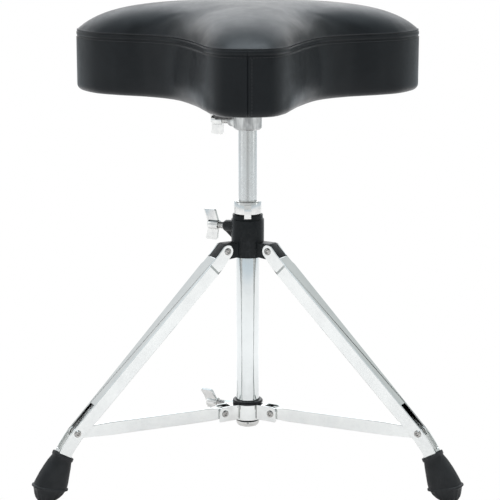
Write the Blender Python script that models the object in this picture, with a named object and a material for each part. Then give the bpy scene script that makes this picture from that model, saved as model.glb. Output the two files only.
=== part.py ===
"""Drum throne: a saddle seat on a post, held by a folding tripod with three braced legs.

The part stands on the plane Z = 0 with +Z up and the seat's nose towards -Y. Its origin is the
middle of its box's bottom face, so the tube's axis lies a little off the origin along Y.
"""
import math

import bmesh
import bpy
from mathutils import Matrix, Vector

MM = 0.001

# Clearances
TOUCH = 0.3 * MM           # between pieces that touch
PIN_PLAY = 0.25 * MM       # radial, pins and bolts in their holes
SLIDE_PLAY = 0.2 * MM      # radial, post in bushing

# Driving sizes of the folding legs
LEG_AZIMUTHS = {"rear": 90.0, "front_left": 210.0, "front_right": 330.0}
LEG_LENGTH = 282.4 * MM    # from the hub pivot to the brace pivot
LEG_ANGLE = 45.5           # degrees from the vertical, open
LEG_FOOT_HEIGHT = 77.863 * MM      # the brace pivot's height, open
LEG_WIDTH_TOP = 23.0 * MM
LEG_SHEET = 1.6 * MM
LEG_WEB = 6.8 * MM         # the web's outer face, above the line of pivots
LEG_EDGE = 9.7 * MM        # the flanges' inner edge, below that line
LEG_WEB_START = 16.0 * MM
LEG_JOG_START = 26.0 * MM
LEG_EAR_RADIUS = 8.0 * MM
LEG_TOE = 57.0 * MM        # past the brace pivot, into the foot
LEG_BEND_START = 8.0 * MM
LEG_BEND_RUN = 14.0 * MM
LEG_BEND_DROP = 2.2 * MM
LEG_BEND = 17.5            # degrees, the toe steeper than the leg
LEG_JOG = 3.0 * MM
SLOT_ABOVE = 38.0 * MM     # the web's slot, from the brace pivot up
SLOT_BELOW = 27.0 * MM     # and down
BRACE_WIDTH = 10.4 * MM
BRACE_DEPTH = 16.0 * MM
BRACE_END_RADIUS = 6.3 * MM
BRACE_SHEET = 1.5 * MM
BRACE_TAPER_IN = 20.0 * MM
BRACE_TAPER_OUT = 45.0 * MM
SIDE_GAP = 0.4 * MM        # brace to the ears beside it
LEG_WIDTH_BOTTOM = BRACE_WIDTH + 2 * (SIDE_GAP + LEG_SHEET)
RIVET_RADIUS = 2.9 * MM
RIVET_HEAD_RADIUS = 4.4 * MM
RIVET_HEAD = 2.0 * MM

# Driving sizes of the base
TUBE_RADIUS = 14.3 * MM
TUBE_WALL = 1.6 * MM
TUBE_BOTTOM = 58.6 * MM
LEG_PIVOT_HEIGHT = LEG_FOOT_HEIGHT + LEG_LENGTH * math.cos(math.radians(LEG_ANGLE))
HUB_BOTTOM = LEG_PIVOT_HEIGHT - 9.8 * MM
HUB_HEIGHT = 52.0 * MM
HUB_RADIUS = TUBE_RADIUS + 5.7 * MM
HUB_RIM_RADIUS = HUB_RADIUS - 1.5 * MM
HUB_RIM_HEIGHT = 5.8 * MM
HUB_BORE_PLAY = 0.3 * MM
TUBE_INSERTION = 19.0 * MM
LEG_PIVOT_RADIUS = HUB_RADIUS + 13.4 * MM
NOTCH_WIDTH = 9.0 * MM
NOTCH_DEPTH = 4.0 * MM
LUG_WIDTH = 16.4 * MM
LUG_TOP_DROP = 33.8 * MM   # from the hub's top to the lugs' top
CAP_HEIGHT = 8.0 * MM
CAP_RING_HEIGHT = 1.4 * MM
CAP_SPIGOT = 12.0 * MM

# Driving sizes of the collar
COLLAR_BOTTOM = TUBE_BOTTOM + 0.5 * MM
COLLAR_HEIGHT = 19.5 * MM
COLLAR_WALL = 1.9 * MM
BUSHING_WALL = 1.2 * MM
COLLAR_RADIUS = TUBE_RADIUS + 2 * TOUCH + BUSHING_WALL + COLLAR_WALL
COLLAR_PIVOT_RADIUS = COLLAR_RADIUS + 18.5 * MM
COLLAR_PIVOT_HEIGHT = COLLAR_BOTTOM + 11.6 * MM
COLLAR_EAR_REACH = COLLAR_PIVOT_RADIUS + 7.5 * MM
COLLAR_EAR_SHEET = 2.4 * MM
BUSHING_FLANGE_RADIUS = COLLAR_RADIUS + 0.9 * MM
BUSHING_FLANGE_HEIGHT = 3.3 * MM

# Driving sizes of the post
SEAT_UNDERSIDE = 459.0 * MM
POST_RADIUS = 11.1 * MM
POST_WALL = 2.0 * MM
POST_BOTTOM = HUB_BOTTOM - 136.0 * MM
SOCKET_BOTTOM = SEAT_UNDERSIDE - 37.5 * MM
SOCKET_DEPTH = 26.0 * MM   # how far the post enters the socket
SOCKET_RADIUS = POST_RADIUS + 5.9 * MM
LOCK_RADIUS = HUB_RIM_RADIUS - 1.75 * MM
LOCK_HEIGHT = 16.2 * MM
LOCK_SPLIT = 2.0 * MM

# Driving sizes of the wing bolts
WING_AZIMUTH = 150.0
BOLT_RADIUS = 3.9 * MM
PAD_RADIUS = 3.9 * MM
PAD_LENGTH = 2.6 * MM
HUB_PAD_LENGTH = TUBE_RADIUS - POST_RADIUS - 2 * TOUCH
WING_SPAN = 39.0 * MM
WING_REACH = 18.0 * MM
WING_THICKNESS = 3.4 * MM
HUB_BOLT_HEIGHT = HUB_BOTTOM + HUB_HEIGHT - 18.0 * MM
HUB_BOSS_REACH = HUB_RADIUS + 12.1 * MM
COLLAR_BOLT_HEIGHT = COLLAR_PIVOT_HEIGHT
COLLAR_BOSS_REACH = COLLAR_RADIUS + 14.0 * MM
SOCKET_BOLT_HEIGHT = SOCKET_BOTTOM + 9.0 * MM
SOCKET_BOSS_REACH = SOCKET_RADIUS + 8.0 * MM
BOSS_RADIUS = 7.2 * MM

# Driving sizes of the feet: each section's reach past the brace pivot, its height, its tilt in
# degrees, its half length and its half width
FOOT_SECTIONS = (
    (15.7, 53.0, 30.0, 13.2, 11.0),
    (17.5, 49.8, 30.0, 13.2, 11.0),
    (18.0, 48.9, 29.0, 12.3, 10.4),
    (24.8, 36.0, 24.0, 16.4, 12.6),
    (30.6, 23.8, 17.0, 19.2, 14.0),
    (33.4, 17.8, 14.0, 19.9, 14.4),
    (33.7, 17.2, 14.0, 21.8, 15.4),
    (34.2, 15.4, 14.0, 21.8, 15.4),
    (34.5, 14.6, 13.0, 20.2, 14.4),
    (36.2, 7.6, 9.0, 18.0, 12.6),
    (37.4, 2.6, 3.0, 14.0, 9.6),
    (38.2, 0.0, 0.0, 9.5, 6.2),
)
FOOT_SQUARENESS = 2.5
FOOT_SIDES = 22

# Driving sizes of the seat
SEAT_BAND_HEIGHT = 68.0 * MM
SEAT_CROWN = 36.0 * MM
CROWN_POWER = 5.8
WELT_HEIGHT = 6.0 * MM
WELT_STAND = 0.8 * MM
COVER_THICKNESS = 2.0 * MM
COVER_HEM = 25.0 * MM
COVER_CORNER = 8.0 * MM
BOARD_THICKNESS = 12.0 * MM
BOARD_INSET = 9.0 * MM
DUST_COVER_THICKNESS = 0.7 * MM
DUST_COVER_INSET = 18.0 * MM
BRACKET_THICKNESS = 3.0 * MM
BRACKET_HALF_WIDTH = 46.0 * MM
BRACKET_FRONT = 40.0 * MM
BRACKET_BACK = 50.0 * MM
BRACKET_LIP_DROP = 18.0 * MM
SOCKET_FLANGE_HALF = 25.0 * MM
SOCKET_FLANGE_THICKNESS = 5.0 * MM
SEAT_BOLT_HALF_SPACING = 19.0 * MM
SEAT_BOLT_RADIUS = 3.0 * MM
SEAT_BOLT_HEAD_RADIUS = 5.4 * MM
SEAT_BOLT_HEAD = 3.9 * MM
SEAT_NOSE = 187.0 * MM
SEAT_HALF_WIDTH = 212.5 * MM
SEAT_TAIL = 178.0 * MM

# The outline's turning points, as shares of the half width and of the nose's or tail's reach
SEAT_OUTLINE = (
    (0.0, -1.0), (0.135, -0.965), (0.21, -0.84), (0.255, -0.66), (0.315, -0.42), (0.42, -0.14),
    (0.57, 0.02), (0.76, 0.13), (0.9, 0.25), (1.0, 0.47), (0.985, 0.66), (0.88, 0.84),
    (0.68, 0.955), (0.36, 1.0),
)
OUTLINE_STEPS = 2

ROUND = 28                 # sides of a round piece
SMALL_ROUND = 14

# Derived places
HUB_TOP = HUB_BOTTOM + HUB_HEIGHT
HUB_BORE = TUBE_RADIUS + HUB_BORE_PLAY
TUBE_TOP = HUB_BOTTOM + TUBE_INSERTION
SEAT_SEAM = SEAT_UNDERSIDE + SEAT_BAND_HEIGHT
CROWN_BASE = SEAT_SEAM + WELT_HEIGHT
PLATE_TOP = SEAT_UNDERSIDE - 2 * TOUCH - DUST_COVER_THICKNESS
SOCKET_TOP = PLATE_TOP - BRACKET_THICKNESS - TOUCH
LOCK_BOTTOM = HUB_TOP + TOUCH
COLLAR_TOP = COLLAR_BOTTOM + COLLAR_HEIGHT
PIN_HOLE = RIVET_RADIUS + PIN_PLAY
BOLT_HOLE = BOLT_RADIUS + PIN_PLAY + TOUCH / 3
EAR_HALF = LUG_WIDTH / 2 + TOUCH + LEG_SHEET
TOE_HALF = LEG_WIDTH_BOTTOM / 2


def brace_pivot():
    """Radius and height of the pivot that joins a leg and its brace."""
    return LEG_PIVOT_RADIUS + LEG_LENGTH * math.sin(math.radians(LEG_ANGLE)), LEG_FOOT_HEIGHT


def foot_reach():
    """How far a foot's outermost point lies from the tube's axis."""
    past = max(reach + half * math.cos(math.radians(tilt)) for reach, _, tilt, half, _ in FOOT_SECTIONS)
    return brace_pivot()[0] + past * MM


AXIS_Y = (SEAT_NOSE + WELT_STAND - foot_reach()) / 2


# ---------------------------------------------------------------------------------- frames


def axis_frame():
    """The tube's axis at the floor, with the world's directions."""
    return Matrix.Translation((0.0, AXIS_Y, 0.0))


def radial_frame(azimuth):
    """A frame on the tube's axis whose X points outwards at this azimuth, in degrees."""
    return axis_frame() @ Matrix.Rotation(math.radians(azimuth), 4, "Z")


def leg_frame(azimuth):
    """A leg's frame: origin at the hub pivot, X down the leg, Z out of its web."""
    place = Matrix.Translation((LEG_PIVOT_RADIUS, 0.0, LEG_PIVOT_HEIGHT))
    turn = Matrix.Rotation(math.radians(90.0 - LEG_ANGLE), 4, "Y")
    return radial_frame(azimuth) @ place @ turn


def brace_span():
    """A brace's length between pivots, and how far it rises outwards, in radians."""
    radius, height = brace_pivot()
    run = radius - COLLAR_PIVOT_RADIUS
    rise = height - COLLAR_PIVOT_HEIGHT
    return math.hypot(run, rise), math.atan2(rise, run)


def brace_frame(azimuth):
    """A brace's frame: origin at the collar pivot, X along the brace, Z out of its web."""
    place = Matrix.Translation((COLLAR_PIVOT_RADIUS, 0.0, COLLAR_PIVOT_HEIGHT))
    return radial_frame(azimuth) @ place @ Matrix.Rotation(-brace_span()[1], 4, "Y")


def bolt_frame(reach, height, turn=0.0):
    """A wing bolt's frame: origin at the boss's face, X outwards along the bolt."""
    place = Matrix.Translation((reach, 0.0, height))
    return radial_frame(WING_AZIMUTH) @ place @ Matrix.Rotation(math.radians(turn), 4, "X")


# ---------------------------------------------------------------------------------- shapes


def closed_mesh(bm):
    """Turn a bmesh into a mesh with its faces pointing out."""
    bmesh.ops.recalc_face_normals(bm, faces=bm.faces)
    mesh = bpy.data.meshes.new("shape")
    bm.to_mesh(mesh)
    bm.free()
    return mesh


def loft(rings, looped=False):
    """Skin rings of equal count; a looped skin joins its last ring to its first."""
    bm = bmesh.new()
    layers = [[bm.verts.new(point) for point in ring] for ring in rings]
    pairs = list(zip(layers, layers[1:]))
    if looped:
        pairs.append((layers[-1], layers[0]))
    else:
        bm.faces.new(layers[0])
        bm.faces.new(layers[-1])
    for low, high in pairs:
        for i in range(len(low)):
            j = (i + 1) % len(low)
            bm.faces.new((low[i], low[j], high[j], high[i]))
    return closed_mesh(bm)


def prism(outline, low, high, plane="XZ"):
    """Extrude an outline drawn in a plane from low to high across it."""
    if plane == "XZ":
        return loft([[(u, w, v) for u, v in outline] for w in (low, high)])
    return loft([[(u, v, w) for u, v in outline] for w in (low, high)])


def block(x_range, y_range, z_range):
    """A rectangular block between two corners."""
    outline = [(x_range[0], y_range[0]), (x_range[1], y_range[0]),
               (x_range[1], y_range[1]), (x_range[0], y_range[1])]
    return prism(outline, z_range[0], z_range[1], "XY")


def circle(radius, sides, height=0.0):
    """A ring of points about Z."""
    step = 2 * math.pi / sides
    angles = [i * step for i in range(sides)]
    return [(radius * math.cos(angle), radius * math.sin(angle), height) for angle in angles]


def solid_turned(profile, sides=ROUND):
    """A solid turned about Z from (radius, height) points, with a flat face at each end."""
    return loft([circle(radius, sides, height) for radius, height in profile])


def tube_turned(profile, sides=ROUND):
    """A ring turned about Z from a closed outline of (radius, height) points."""
    return loft([circle(radius, sides, height) for radius, height in profile], looped=True)


def along_x(mesh):
    """Turn a mesh made about Z so that it lies along X."""
    mesh.transform(Matrix.Rotation(math.pi / 2, 4, "Y"))
    return mesh


def along_y(mesh, x=0.0, z=0.0):
    """Turn a mesh made about Z so that it lies along Y, and place it."""
    mesh.transform(Matrix.Translation((x, 0.0, z)) @ Matrix.Rotation(math.pi / 2, 4, "X"))
    return mesh


def moved(mesh, frame):
    """Carry a mesh from a frame into the frame around it."""
    mesh.transform(frame)
    return mesh


def combined(mesh, tools, operation):
    """The mesh after a union with, or a cut by, each of the tools."""
    base = bpy.data.objects.new("base", mesh)
    bpy.context.collection.objects.link(base)
    helpers = []
    for tool in tools:
        helper = bpy.data.objects.new("tool", tool)
        helper.hide_render = True
        helper.display_type = "WIRE"
        bpy.context.collection.objects.link(helper)
        modifier = base.modifiers.new("shape", "BOOLEAN")
        modifier.operation = operation
        modifier.solver = "EXACT"
        modifier.object = helper
        helpers.append(helper)
    bpy.context.view_layer.update()
    depsgraph = bpy.context.evaluated_depsgraph_get()
    result = bpy.data.meshes.new_from_object(base.evaluated_get(depsgraph))
    for obj in helpers + [base]:
        bpy.data.objects.remove(obj)
    return result


def joined(mesh, *tools):
    """Union."""
    return combined(mesh, tools, "UNION")


def cut(mesh, *tools):
    """Difference."""
    return combined(mesh, tools, "DIFFERENCE")


def arc(centre, radius, start, end, steps):
    """Points on an arc in a plane, from start to end in degrees."""
    points = []
    for i in range(steps + 1):
        angle = math.radians(start + (end - start) * i / steps)
        points.append((centre[0] + radius * math.cos(angle), centre[1] + radius * math.sin(angle)))
    return points


# ---------------------------------------------------------------------------------- materials


def finish(name, color, roughness, metallic=0.0):
    """A Principled material."""
    material = bpy.data.materials.new(name)
    material.use_nodes = True
    shader = material.node_tree.nodes["Principled BSDF"]
    shader.inputs["Base Color"].default_value = (*color, 1.0)
    shader.inputs["Roughness"].default_value = roughness
    shader.inputs["Metallic"].default_value = metallic
    return material


FINISHES = {
    "black_vinyl": ((0.018, 0.02, 0.022), 0.42, 0.0),
    "foam": ((0.55, 0.52, 0.42), 0.95, 0.0),
    "plywood": ((0.45, 0.32, 0.18), 0.7, 0.0),
    "dust_cloth": ((0.012, 0.012, 0.012), 0.95, 0.0),
    "black_steel": ((0.015, 0.015, 0.016), 0.4, 0.3),
    "zinc_bolt": ((0.6, 0.6, 0.58), 0.35, 1.0),
    "cast_zinc": ((0.42, 0.42, 0.4), 0.5, 0.9),
    "chrome": ((0.86, 0.87, 0.88), 0.08, 1.0),
    "nickel": ((0.66, 0.65, 0.62), 0.25, 1.0),
    "black_cast": ((0.014, 0.015, 0.017), 0.45, 0.2),
    "black_plastic": ((0.01, 0.01, 0.011), 0.5, 0.0),
    "black_rubber": ((0.012, 0.013, 0.015), 0.75, 0.0),
}


def place(name, mesh, finish_name, frame):
    """Add a piece to the scene in its frame, smooth where it is round."""
    mesh = mesh.copy()
    mesh.name = name
    mesh.materials.clear()
    color, roughness, metallic = FINISHES[finish_name]
    mesh.materials.append(finish(name, color, roughness, metallic))
    mesh.shade_smooth()
    mesh.set_sharp_from_angle(angle=math.radians(30.0))
    piece = bpy.data.objects.new(name, mesh)
    piece.matrix_world = frame
    bpy.context.collection.objects.link(piece)
    return piece


# ---------------------------------------------------------------------------------- the seat


def seat_outline(inset=0.0):
    """The seat's outline in plan, a smooth closed curve, drawn in by an inset."""
    half = []
    for x, y in SEAT_OUTLINE:
        half.append((x * SEAT_HALF_WIDTH, y * (SEAT_NOSE if y < 0 else SEAT_TAIL)))
    mirrored = [(-x, y) for x, y in reversed(half[1:])]
    knots = [Vector(point) for point in half + mirrored]
    count = len(knots)
    points = []
    for i in range(count):
        before, start, end, after = (knots[(i + k) % count] for k in (-1, 0, 1, 2))
        for step in range(OUTLINE_STEPS):
            t = step / OUTLINE_STEPS
            points.append(0.5 * (2 * start + (end - before) * t
                                 + (2 * before - 5 * start + 4 * end - after) * t ** 2
                                 + (3 * start - before - 3 * end + after) * t ** 3))
    drawn = []
    for i, point in enumerate(points):
        along = (points[(i + 1) % len(points)] - points[i - 1]).normalized()
        drawn.append((point.x - along.y * inset, point.y + along.x * inset))
    return drawn


def seat_ring(inset, height, share=1.0):
    """The outline at a height, shrunk to a share about the seat's middle."""
    middle = SEAT_TAIL / 3
    return [(x * share, middle + (y - middle) * share, height) for x, y in seat_outline(inset)]


def crown_rings(inset, base, rise):
    """Rings up the crown, from its edge to near its middle."""
    shares = (1.0, 0.97, 0.92, 0.83, 0.68, 0.4, 0.05)
    return [seat_ring(inset, base + rise * (1 - share ** CROWN_POWER), share) for share in shares]


def cover_top():
    """The cover's domed top panel, a shell open underneath."""
    base = CROWN_BASE + TOUCH / 2
    outer = crown_rings(0.0, base, SEAT_CROWN)
    inner = crown_rings(COVER_THICKNESS, base, SEAT_CROWN - COVER_THICKNESS)
    return loft(list(reversed(inner)) + outer)


def cover_band():
    """The cover's side band, turned under the board with a hem."""
    low = SEAT_UNDERSIDE
    wall = COVER_THICKNESS
    corner = COVER_CORNER
    turned = 0.3 * corner + 0.7 * wall
    rings = [
        seat_ring(0.0, SEAT_SEAM - TOUCH / 2), seat_ring(0.0, low + corner),
        seat_ring(0.3 * corner, low + 0.3 * corner), seat_ring(corner, low),
        seat_ring(COVER_HEM, low), seat_ring(COVER_HEM, low + wall),
        seat_ring(corner, low + wall), seat_ring(turned, low + turned),
        seat_ring(wall, low + corner), seat_ring(wall, SEAT_SEAM - TOUCH / 2),
    ]
    return loft(rings, looped=True)


def welt():
    """The strip between the two seam lines."""
    low = SEAT_SEAM + TOUCH / 2
    high = CROWN_BASE - TOUCH / 2
    quarter = (high - low) / 4
    rings = [
        seat_ring(0.0, low), seat_ring(-WELT_STAND, low + quarter),
        seat_ring(-WELT_STAND, high - quarter),
        seat_ring(0.0, high), seat_ring(COVER_THICKNESS, high), seat_ring(COVER_THICKNESS, low),
    ]
    return loft(rings, looped=True)


def foam():
    """The cushion that fills the cover above the board."""
    inset = COVER_THICKNESS + TOUCH
    low = SEAT_UNDERSIDE + COVER_THICKNESS + 2 * TOUCH + BOARD_THICKNESS
    rise = SEAT_CROWN - COVER_THICKNESS - TOUCH
    return loft([seat_ring(inset, low)] + crown_rings(inset, CROWN_BASE, rise))


def seat_bolt_places():
    """The four bracket bolts' places in plan."""
    half = SEAT_BOLT_HALF_SPACING
    return [(-half, -half), (half, -half), (-half, half), (half, half)]


def bolt_holes(low, high):
    """Cutters for the four bracket bolts."""
    radius = SEAT_BOLT_RADIUS + PIN_PLAY
    holes = []
    for x, y in seat_bolt_places():
        hole = solid_turned([(radius, low), (radius, high)], SMALL_ROUND)
        holes.append(moved(hole, Matrix.Translation((x, y, 0.0))))
    return holes


def board():
    """The plywood board, drilled for the bolts."""
    low = SEAT_UNDERSIDE + COVER_THICKNESS + TOUCH
    solid = loft([seat_ring(BOARD_INSET, low), seat_ring(BOARD_INSET, low + BOARD_THICKNESS)])
    return cut(solid, *bolt_holes(low - MM, low + BOARD_THICKNESS + MM))


def dust_cover():
    """The thin cloth that closes the seat's underside."""
    low = PLATE_TOP + TOUCH
    high = low + DUST_COVER_THICKNESS
    solid = loft([seat_ring(DUST_COVER_INSET, low), seat_ring(DUST_COVER_INSET, high)])
    return cut(solid, *bolt_holes(low - MM, SEAT_UNDERSIDE))


def bracket():
    """The steel plate under the seat, with a folded lip at its left."""
    low = PLATE_TOP - BRACKET_THICKNESS
    corner = 12.0 * MM
    half = BRACKET_HALF_WIDTH
    front = -BRACKET_FRONT
    back = BRACKET_BACK
    outline = [(-half + corner, front), (half - corner, front), (half, front + corner),
               (half, back - corner), (half - corner, back), (-half + corner, back),
               (-half, back - corner), (-half, front + corner)]
    plate = prism(outline, low, PLATE_TOP, "XY")
    lip_in = -SOCKET_RADIUS - 2.0 * MM
    lip_out = -half + 5.0 * MM
    drop = low - BRACKET_LIP_DROP
    side = [(lip_in, low + MM), (lip_in, drop), (lip_out + 2.5 * MM, drop), (lip_out, drop + 5.0 * MM),
            (lip_out, low + MM)]
    lip_front = -SOCKET_FLANGE_HALF - TOUCH - BRACKET_THICKNESS
    lip = prism(side, lip_front, lip_front + BRACKET_THICKNESS)
    return cut(joined(plate, lip), *bolt_holes(low - MM, PLATE_TOP + MM))


def boss_solid(inner, reach, height):
    """A round boss along the wing bolts' azimuth, in the axis frame."""
    profile = [(BOSS_RADIUS + 1.2 * MM, inner), (BOSS_RADIUS, reach - 2.0 * MM), (BOSS_RADIUS - MM, reach)]
    boss = along_x(solid_turned(profile, SMALL_ROUND))
    turn = Matrix.Rotation(math.radians(WING_AZIMUTH), 4, "Z")
    return moved(boss, turn @ Matrix.Translation((0.0, 0.0, height)))


def radial_hole(radius, inner, reach, height):
    """A cutter along the wing bolts' azimuth, in the axis frame."""
    hole = along_x(solid_turned([(radius, inner), (radius, reach)], SMALL_ROUND))
    turn = Matrix.Rotation(math.radians(WING_AZIMUTH), 4, "Z")
    return moved(hole, turn @ Matrix.Translation((0.0, 0.0, height)))


def socket():
    """The cast socket that takes the post's top end."""
    flange_low = SOCKET_TOP - SOCKET_FLANGE_THICKNESS
    chamfer = 2.0 * MM
    radius = SOCKET_RADIUS
    body = solid_turned([(radius - chamfer, SOCKET_BOTTOM), (radius, SOCKET_BOTTOM + chamfer),
                         (radius, SOCKET_TOP - MM)])
    half = SOCKET_FLANGE_HALF
    flange = block((-half, half), (-half, half), (flange_low, SOCKET_TOP))
    boss = boss_solid(6.0 * MM, SOCKET_BOSS_REACH, SOCKET_BOLT_HEIGHT)
    bore = solid_turned([(POST_RADIUS + TOUCH, SOCKET_BOTTOM - MM),
                         (POST_RADIUS + TOUCH, SOCKET_BOTTOM + SOCKET_DEPTH + TOUCH)])
    hole = radial_hole(BOLT_HOLE, POST_RADIUS / 2, SOCKET_BOSS_REACH + MM, SOCKET_BOLT_HEIGHT)
    solid = joined(body, flange, boss)
    return cut(solid, bore, hole, *bolt_holes(flange_low - MM, SOCKET_TOP + MM))


def seat_bolt():
    """A hex bolt about Z, its head's top at the socket flange's underside."""
    seat = SOCKET_TOP - SOCKET_FLANGE_THICKNESS - TOUCH
    top = SEAT_UNDERSIDE + COVER_THICKNESS + BOARD_THICKNESS - 2.0 * MM
    head = solid_turned([(SEAT_BOLT_HEAD_RADIUS, seat - SEAT_BOLT_HEAD), (SEAT_BOLT_HEAD_RADIUS, seat)], 6)
    shank = solid_turned([(SEAT_BOLT_RADIUS, seat - MM), (SEAT_BOLT_RADIUS, top)], SMALL_ROUND)
    return joined(head, shank)


def build_seat():
    """Everything that turns with the seat, but for its wing bolt."""
    frame = axis_frame()
    place("seat_cover_top", cover_top(), "black_vinyl", frame)
    place("seat_welt", welt(), "black_vinyl", frame)
    place("seat_cover_band", cover_band(), "black_vinyl", frame)
    place("seat_foam", foam(), "foam", frame)
    place("seat_board", board(), "plywood", frame)
    place("seat_dust_cover", dust_cover(), "dust_cloth", frame)
    place("seat_bracket", bracket(), "black_steel", frame)
    place("seat_socket", socket(), "cast_zinc", frame)
    place("socket_clamp_shoe", pad(PAD_LENGTH), "zinc_bolt", pad_frame(POST_RADIUS, SOCKET_BOLT_HEIGHT))
    bolt = seat_bolt()
    for number, (x, y) in enumerate(seat_bolt_places(), 1):
        place(f"bracket_bolt_{number}", bolt, "zinc_bolt", frame @ Matrix.Translation((x, y, 0.0)))


# ---------------------------------------------------------------------------------- wing bolts


def wing_bolt(inner, thread):
    """A wing bolt along X: tip at inner, boss face at 0, wings past a stretch of thread."""
    collar = 6.2 * MM
    profile = [(BOLT_RADIUS - 0.8 * MM, inner), (BOLT_RADIUS, inner + MM), (BOLT_RADIUS, thread)]
    shank = along_x(solid_turned(profile, SMALL_ROUND))
    head_profile = [(collar - MM, thread - MM), (collar, thread), (collar, thread + 0.72 * WING_REACH),
                    (collar - 1.6 * MM, thread + 0.8 * WING_REACH)]
    head = along_x(solid_turned(head_profile, SMALL_ROUND))
    tip = WING_SPAN / 2
    half = [(0.0, 0.0), (0.03, 0.36), (0.1, 0.62), (0.17, 0.93), (0.24, 1.0), (1.0, 1.0),
            (1.07, 0.93), (0.93, 0.56), (0.88, 0.33), (0.87, 0.0)]
    up = [(thread + x * WING_REACH, z * tip) for x, z in half]
    down = [(x, -z) for x, z in reversed(up[1:-1])]
    thickness = WING_THICKNESS / 2
    wings = prism(up + down, -thickness, thickness)
    return joined(head, shank, wings)


def pad(length):
    """A pressure pad along X, its tip at 0."""
    profile = [(PAD_RADIUS - 0.4 * MM, 0.0), (PAD_RADIUS, 0.4 * MM), (PAD_RADIUS, length)]
    return along_x(solid_turned(profile, SMALL_ROUND))


def pad_frame(radius, height):
    """Where a pad presses on a round piece of this radius."""
    place_on = Matrix.Translation((radius + TOUCH + 0.1 * MM, 0.0, height))
    return radial_frame(WING_AZIMUTH) @ place_on


def bolt_inner(pad_end, reach):
    """Where a wing bolt's tip lies behind its boss's face, just clear of its pad's outer end."""
    return pad_end + 2 * TOUCH + 0.1 * MM - reach


def build_wing_bolts():
    """The three wing bolts, each turned as it stands in use."""
    bolts = (
        ("socket_wing_bolt", POST_RADIUS + PAD_LENGTH, SOCKET_BOSS_REACH, SOCKET_BOLT_HEIGHT, 10.0, -20.0),
        ("hub_wing_bolt", POST_RADIUS + HUB_PAD_LENGTH, HUB_BOSS_REACH, HUB_BOLT_HEIGHT, 9.0, -7.0),
        ("collar_wing_bolt", TUBE_RADIUS + PAD_LENGTH, COLLAR_BOSS_REACH, COLLAR_BOLT_HEIGHT, 12.0, -24.0),
    )
    for name, pad_end, reach, height, shown, turn in bolts:
        mesh = wing_bolt(bolt_inner(pad_end, reach), shown * MM)
        place(name, mesh, "chrome", bolt_frame(reach, height, turn))


# ---------------------------------------------------------------------------------- the post


def build_post():
    """The upper post, its plug, and the memory lock on it."""
    frame = axis_frame()
    inner = POST_RADIUS - POST_WALL
    top = SOCKET_BOTTOM + SOCKET_DEPTH
    outline = [(POST_RADIUS, POST_BOTTOM), (POST_RADIUS, top), (inner, top), (inner, POST_BOTTOM)]
    place("upper_post", tube_turned(outline), "nickel", frame)
    plug = [(POST_RADIUS, POST_BOTTOM - 3.0 * MM), (POST_RADIUS, POST_BOTTOM - TOUCH),
            (inner - TOUCH, POST_BOTTOM - TOUCH), (inner - TOUCH, POST_BOTTOM + 10.0 * MM)]
    place("post_end_plug", solid_turned(plug), "black_plastic", frame)

    bore = POST_RADIUS + SLIDE_PLAY
    low = LOCK_BOTTOM
    high = low + LOCK_HEIGHT
    edge = 0.8 * MM
    ring = tube_turned([(LOCK_RADIUS - edge, low), (LOCK_RADIUS, low + edge), (LOCK_RADIUS, high - edge),
                        (LOCK_RADIUS - edge, high), (bore, high), (bore, low)])
    tab_in = HUB_BORE + TOUCH
    tab_half = NOTCH_WIDTH / 2 - TOUCH
    tab = block((-tab_half, tab_half), (-HUB_RIM_RADIUS + 0.4 * MM, -tab_in),
                (HUB_TOP - NOTCH_DEPTH + TOUCH, high - 3.0 * MM))
    ear_half = 6.5 * MM
    ear_out = LOCK_RADIUS + 9.0 * MM
    ears = block((-ear_half, ear_half), (LOCK_RADIUS - 3.0 * MM, ear_out), (low + edge, high - edge))
    split = block((-LOCK_SPLIT / 2, LOCK_SPLIT / 2), (bore - 4.0 * MM, ear_out + MM),
                  (low - MM, high + MM))
    bolt_y = LOCK_RADIUS + 4.6 * MM
    bolt_z = (low + high) / 2
    shank = 2.5 * MM
    drill = along_x(solid_turned([(shank + PIN_PLAY, -8.0 * MM), (shank + PIN_PLAY, 8.0 * MM)], SMALL_ROUND))
    hole = moved(drill, Matrix.Translation((0.0, bolt_y, bolt_z)))
    place("memory_lock", cut(joined(ring, tab, ears), split, hole), "chrome", frame)
    half = 2.9 * MM
    head_start = ear_half + TOUCH
    head = block((head_start, head_start + 7.0 * MM), (-half, half), (-half, half))
    screw_ends = [(shank, -ear_half - 2.0 * MM), (shank, head_start + MM)]
    screw = along_x(solid_turned(screw_ends, SMALL_ROUND))
    place("memory_lock_key_bolt", joined(head, screw), "zinc_bolt",
          frame @ Matrix.Translation((0.0, bolt_y, bolt_z)))


# ---------------------------------------------------------------------------------- the base


def leg_point(s, n):
    """A point of a leg's own plane as radius and height."""
    angle = math.radians(LEG_ANGLE)
    return (LEG_PIVOT_RADIUS + s * math.sin(angle) + n * math.cos(angle),
            LEG_PIVOT_HEIGHT - s * math.cos(angle) + n * math.sin(angle))


def lug():
    """One of the hub's lugs, whose end face stops the leg's web."""
    top = HUB_TOP - LUG_TOP_DROP
    end = LEG_WEB_START - TOUCH
    slope = leg_point(end, LEG_WEB)
    shoulder = slope[0] - (top - slope[1]) * math.tan(math.radians(LEG_ANGLE))
    inner = HUB_BORE + 2.0 * MM
    outline = [(inner, top), (shoulder, top), slope, leg_point(end, 0.0), leg_point(0.8 * end, -4.0 * MM),
               leg_point(0.3 * end, -LEG_EDGE), (inner, HUB_BOTTOM + MM)]
    solid = prism(outline, -LUG_WIDTH / 2, LUG_WIDTH / 2)
    reach = LUG_WIDTH / 2 + MM
    hole = along_y(solid_turned([(PIN_HOLE, -reach), (PIN_HOLE, reach)], SMALL_ROUND),
                   LEG_PIVOT_RADIUS, LEG_PIVOT_HEIGHT)
    return cut(solid, hole)


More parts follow.
